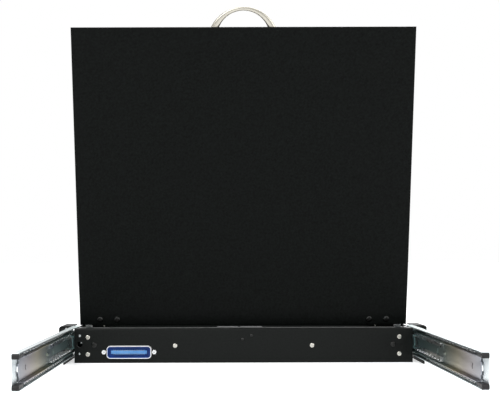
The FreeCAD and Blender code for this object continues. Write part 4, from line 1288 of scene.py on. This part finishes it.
@dataclass
class Studio:
    """Floor, backdrop, lights and camera.

    Attributes:
        low: Height of the floor, in metres.
        floor_glow: Light that the floor adds for the camera, metal and glass.
        floor_size: Side of the floor, in metres.
        paper: Darker and lighter tone of the floor.
        ambient: Strength of the light from all round.
        lights: The soft lights.
        viewpoint: The main camera.
    """

    low: float
    floor_glow: float = 0.6
    floor_size: float = 60.0
    paper: tuple[float, float] = (0.86, 0.9)
    ambient: float = 0.45
    lights: tuple[SoftLight, ...] = (
        SoftLight("key_light", (1.2, 2.4, 1.8), (0.0, 0.1, 0.1), (1.8, 1.2), 42.0),
        SoftLight("fill_light", (-2.0, 1.8, 1.0), (0.0, 0.1, 0.1), (1.6, 1.6), 26.0),
        SoftLight("top_light", (0.0, 0.2, 2.2), (0.0, 0.0, 0.0), (2.2, 2.2), 20.0),
        SoftLight("front_light", (-0.6, -2.4, 1.6), (0.0, 0.0, 0.1), (1.8, 1.8), 30.0),
    )
    viewpoint: Viewpoint = field(default_factory=Viewpoint)

    def build(self) -> None:
        """Adds everything that isn't part of the object."""
        self._floor()
        self._world()
        for light in self.lights:
            light.hang()
        self.viewpoint.set_up()

    def _floor(self) -> None:
        """Adds a white floor that keeps the object's shadow."""
        bpy.ops.mesh.primitive_plane_add(size=self.floor_size, location=(0.0, 0.0, self.low))
        floor = bpy.context.object
        floor.name = "floor"
        made = bpy.data.materials.new("floor_paper")
        made.use_nodes = True
        tree = made.node_tree
        noise = tree.nodes.new("ShaderNodeTexNoise")
        noise.inputs["Scale"].default_value = 3.0
        ramp = tree.nodes.new("ShaderNodeValToRGB")
        for element, tone in zip(ramp.color_ramp.elements, self.paper):
            element.color = (tone, tone, tone, 1.0)
        coordinates = tree.nodes.new("ShaderNodeTexCoord")
        tree.links.new(coordinates.outputs["Object"], noise.inputs["Vector"])
        tree.links.new(noise.outputs["Fac"], ramp.inputs["Fac"])
        paper = tree.nodes["Principled BSDF"]
        tree.links.new(ramp.outputs["Color"], paper.inputs["Base Color"])
        paper.inputs["Roughness"].default_value = 0.9
        scale = tree.nodes.new("ShaderNodeMath")
        scale.operation = "MULTIPLY"
        scale.inputs[1].default_value = self.floor_glow
        tree.links.new(seen_rays(tree), scale.inputs[0])
        glow = tree.nodes.new("ShaderNodeEmission")
        tree.links.new(scale.outputs["Value"], glow.inputs["Strength"])
        both = tree.nodes.new("ShaderNodeAddShader")
        tree.links.new(paper.outputs["BSDF"], both.inputs[0])
        tree.links.new(glow.outputs["Emission"], both.inputs[1])
        tree.links.new(both.outputs["Shader"], tree.nodes["Material Output"].inputs["Surface"])
        floor.data.materials.append(made)
        floor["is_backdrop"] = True

    def _world(self) -> None:
        """Sets a white backdrop for the camera, metal and glass, and a softer light for the rest."""
        world = bpy.data.worlds.new("studio")
        bpy.context.scene.world = world
        world.use_nodes = True
        tree = world.node_tree
        backdrop = tree.nodes["Background"]
        backdrop.inputs["Color"].default_value = (1.0, 1.0, 1.0, 1.0)
        backdrop.inputs["Strength"].default_value = 1.0
        ambient = tree.nodes.new("ShaderNodeBackground")
        ambient.inputs["Color"].default_value = (0.95, 0.97, 1.0, 1.0)
        ambient.inputs["Strength"].default_value = self.ambient
        mix = tree.nodes.new("ShaderNodeMixShader")
        tree.links.new(seen_rays(tree), mix.inputs["Fac"])
        tree.links.new(ambient.outputs["Background"], mix.inputs[1])
        tree.links.new(backdrop.outputs["Background"], mix.inputs[2])
        tree.links.new(mix.outputs["Shader"], tree.nodes["World Output"].inputs["Surface"])


SHEET_METAL = (
    Softened("lid_shell", 0.0005, finish="lid_powder_coat"),
    Softened("rear_panel", 0.0003, finish="panel_powder_coat"),
    Softened("tray_pan", 0.0003, finish="deck_powder_coat"),
    Softened("keyboard_deck", 0.0003, finish="deck_powder_coat"),
    *(Softened(side + "ear_bracket", 0.0003) for side in SIDES),
    *(Softened(side + "ear_hood", 0.0004) for side in SIDES),
    *(Softened(side + "hinge_base", 0.0003) for side in SIDES),
    *(Softened(side + "hinge_arm", 0.0003) for side in SIDES),
    Softened("connector_shell", 0.0002, finish="bright_tin"),
    Softened("jackscrews", 0.0004, finish="bright_tin"),
)

RAILS = (
    # Both slide members carry painted reflections along their length
    RailMember("outer_rail", 0.0002, "outer_zinc_painted_reflections", ((0.172, 0.0034, 0.0034),), trim=0.0011),
    RailMember("intermediate_rail", 0.0002, "web_zinc_painted_reflections"),
)

MOULDED = (
    Softened("rail_bumpers", 0.0012, 4),
    Softened("lid_bezel", 0.0004),
    Softened("touchpad", 0.0002),
    *(Softened(side + "pad_button", 0.0005, 3) for side in SIDES),
    Softened("power_button", 0.0003),
    Softened("menu_buttons", 0.0003),
)

LID_OUT = (0.0, -math.sin(LID_TURN), math.cos(LID_TURN))

SCREWS = (
    Screws("rear_screws", (0.0, 1.0, 0.0), finish="screw_zinc"),
    Screws("rear_black_screws", (0.0, 1.0, 0.0)),
    Screws("lid_hinge_screws", LID_OUT, crown=0.8),
    Screws("deck_screws", (0.0, 0.0, 1.0)),
    Screws("rail_screws", (1.0, 0.0, 0.0), mirrored=True, crown=0.3, finish="screw_zinc"),
)

KEY_ROWS = tuple(KeyRow(node) for node in (
    "function_keys", "number_keys", "upper_letter_keys", "home_letter_keys", "lower_letter_keys",
    "bottom_keys", "space_bar", "navigation_keys", "arrow_keys",
))


def main() -> None:
    """Builds the scene in order."""
    logging.basicConfig(level=logging.INFO)
    bpy.ops.object.select_all(action="SELECT")
    bpy.ops.object.delete()
    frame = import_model()
    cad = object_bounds()
    palette = Palette()
    palette.fill()
    palette.dress_nodes(frame)
    shop = Workshop(frame, palette)
    fittings = (BallRows("outer_cage_balls"), BallRows("inner_cage_balls"), BowHandle(), RibbonReceptacle())
    for builder in (*SHEET_METAL, *RAILS, *MOULDED, *SCREWS, *KEY_ROWS, *fittings):
        builder.build(shop)
    Studio(low=cad[0].z).build()
    bpy.context.scene.view_settings.view_transform = "Standard"
    log.info("scene is ready")


if __name__ == "__main__":
    main()
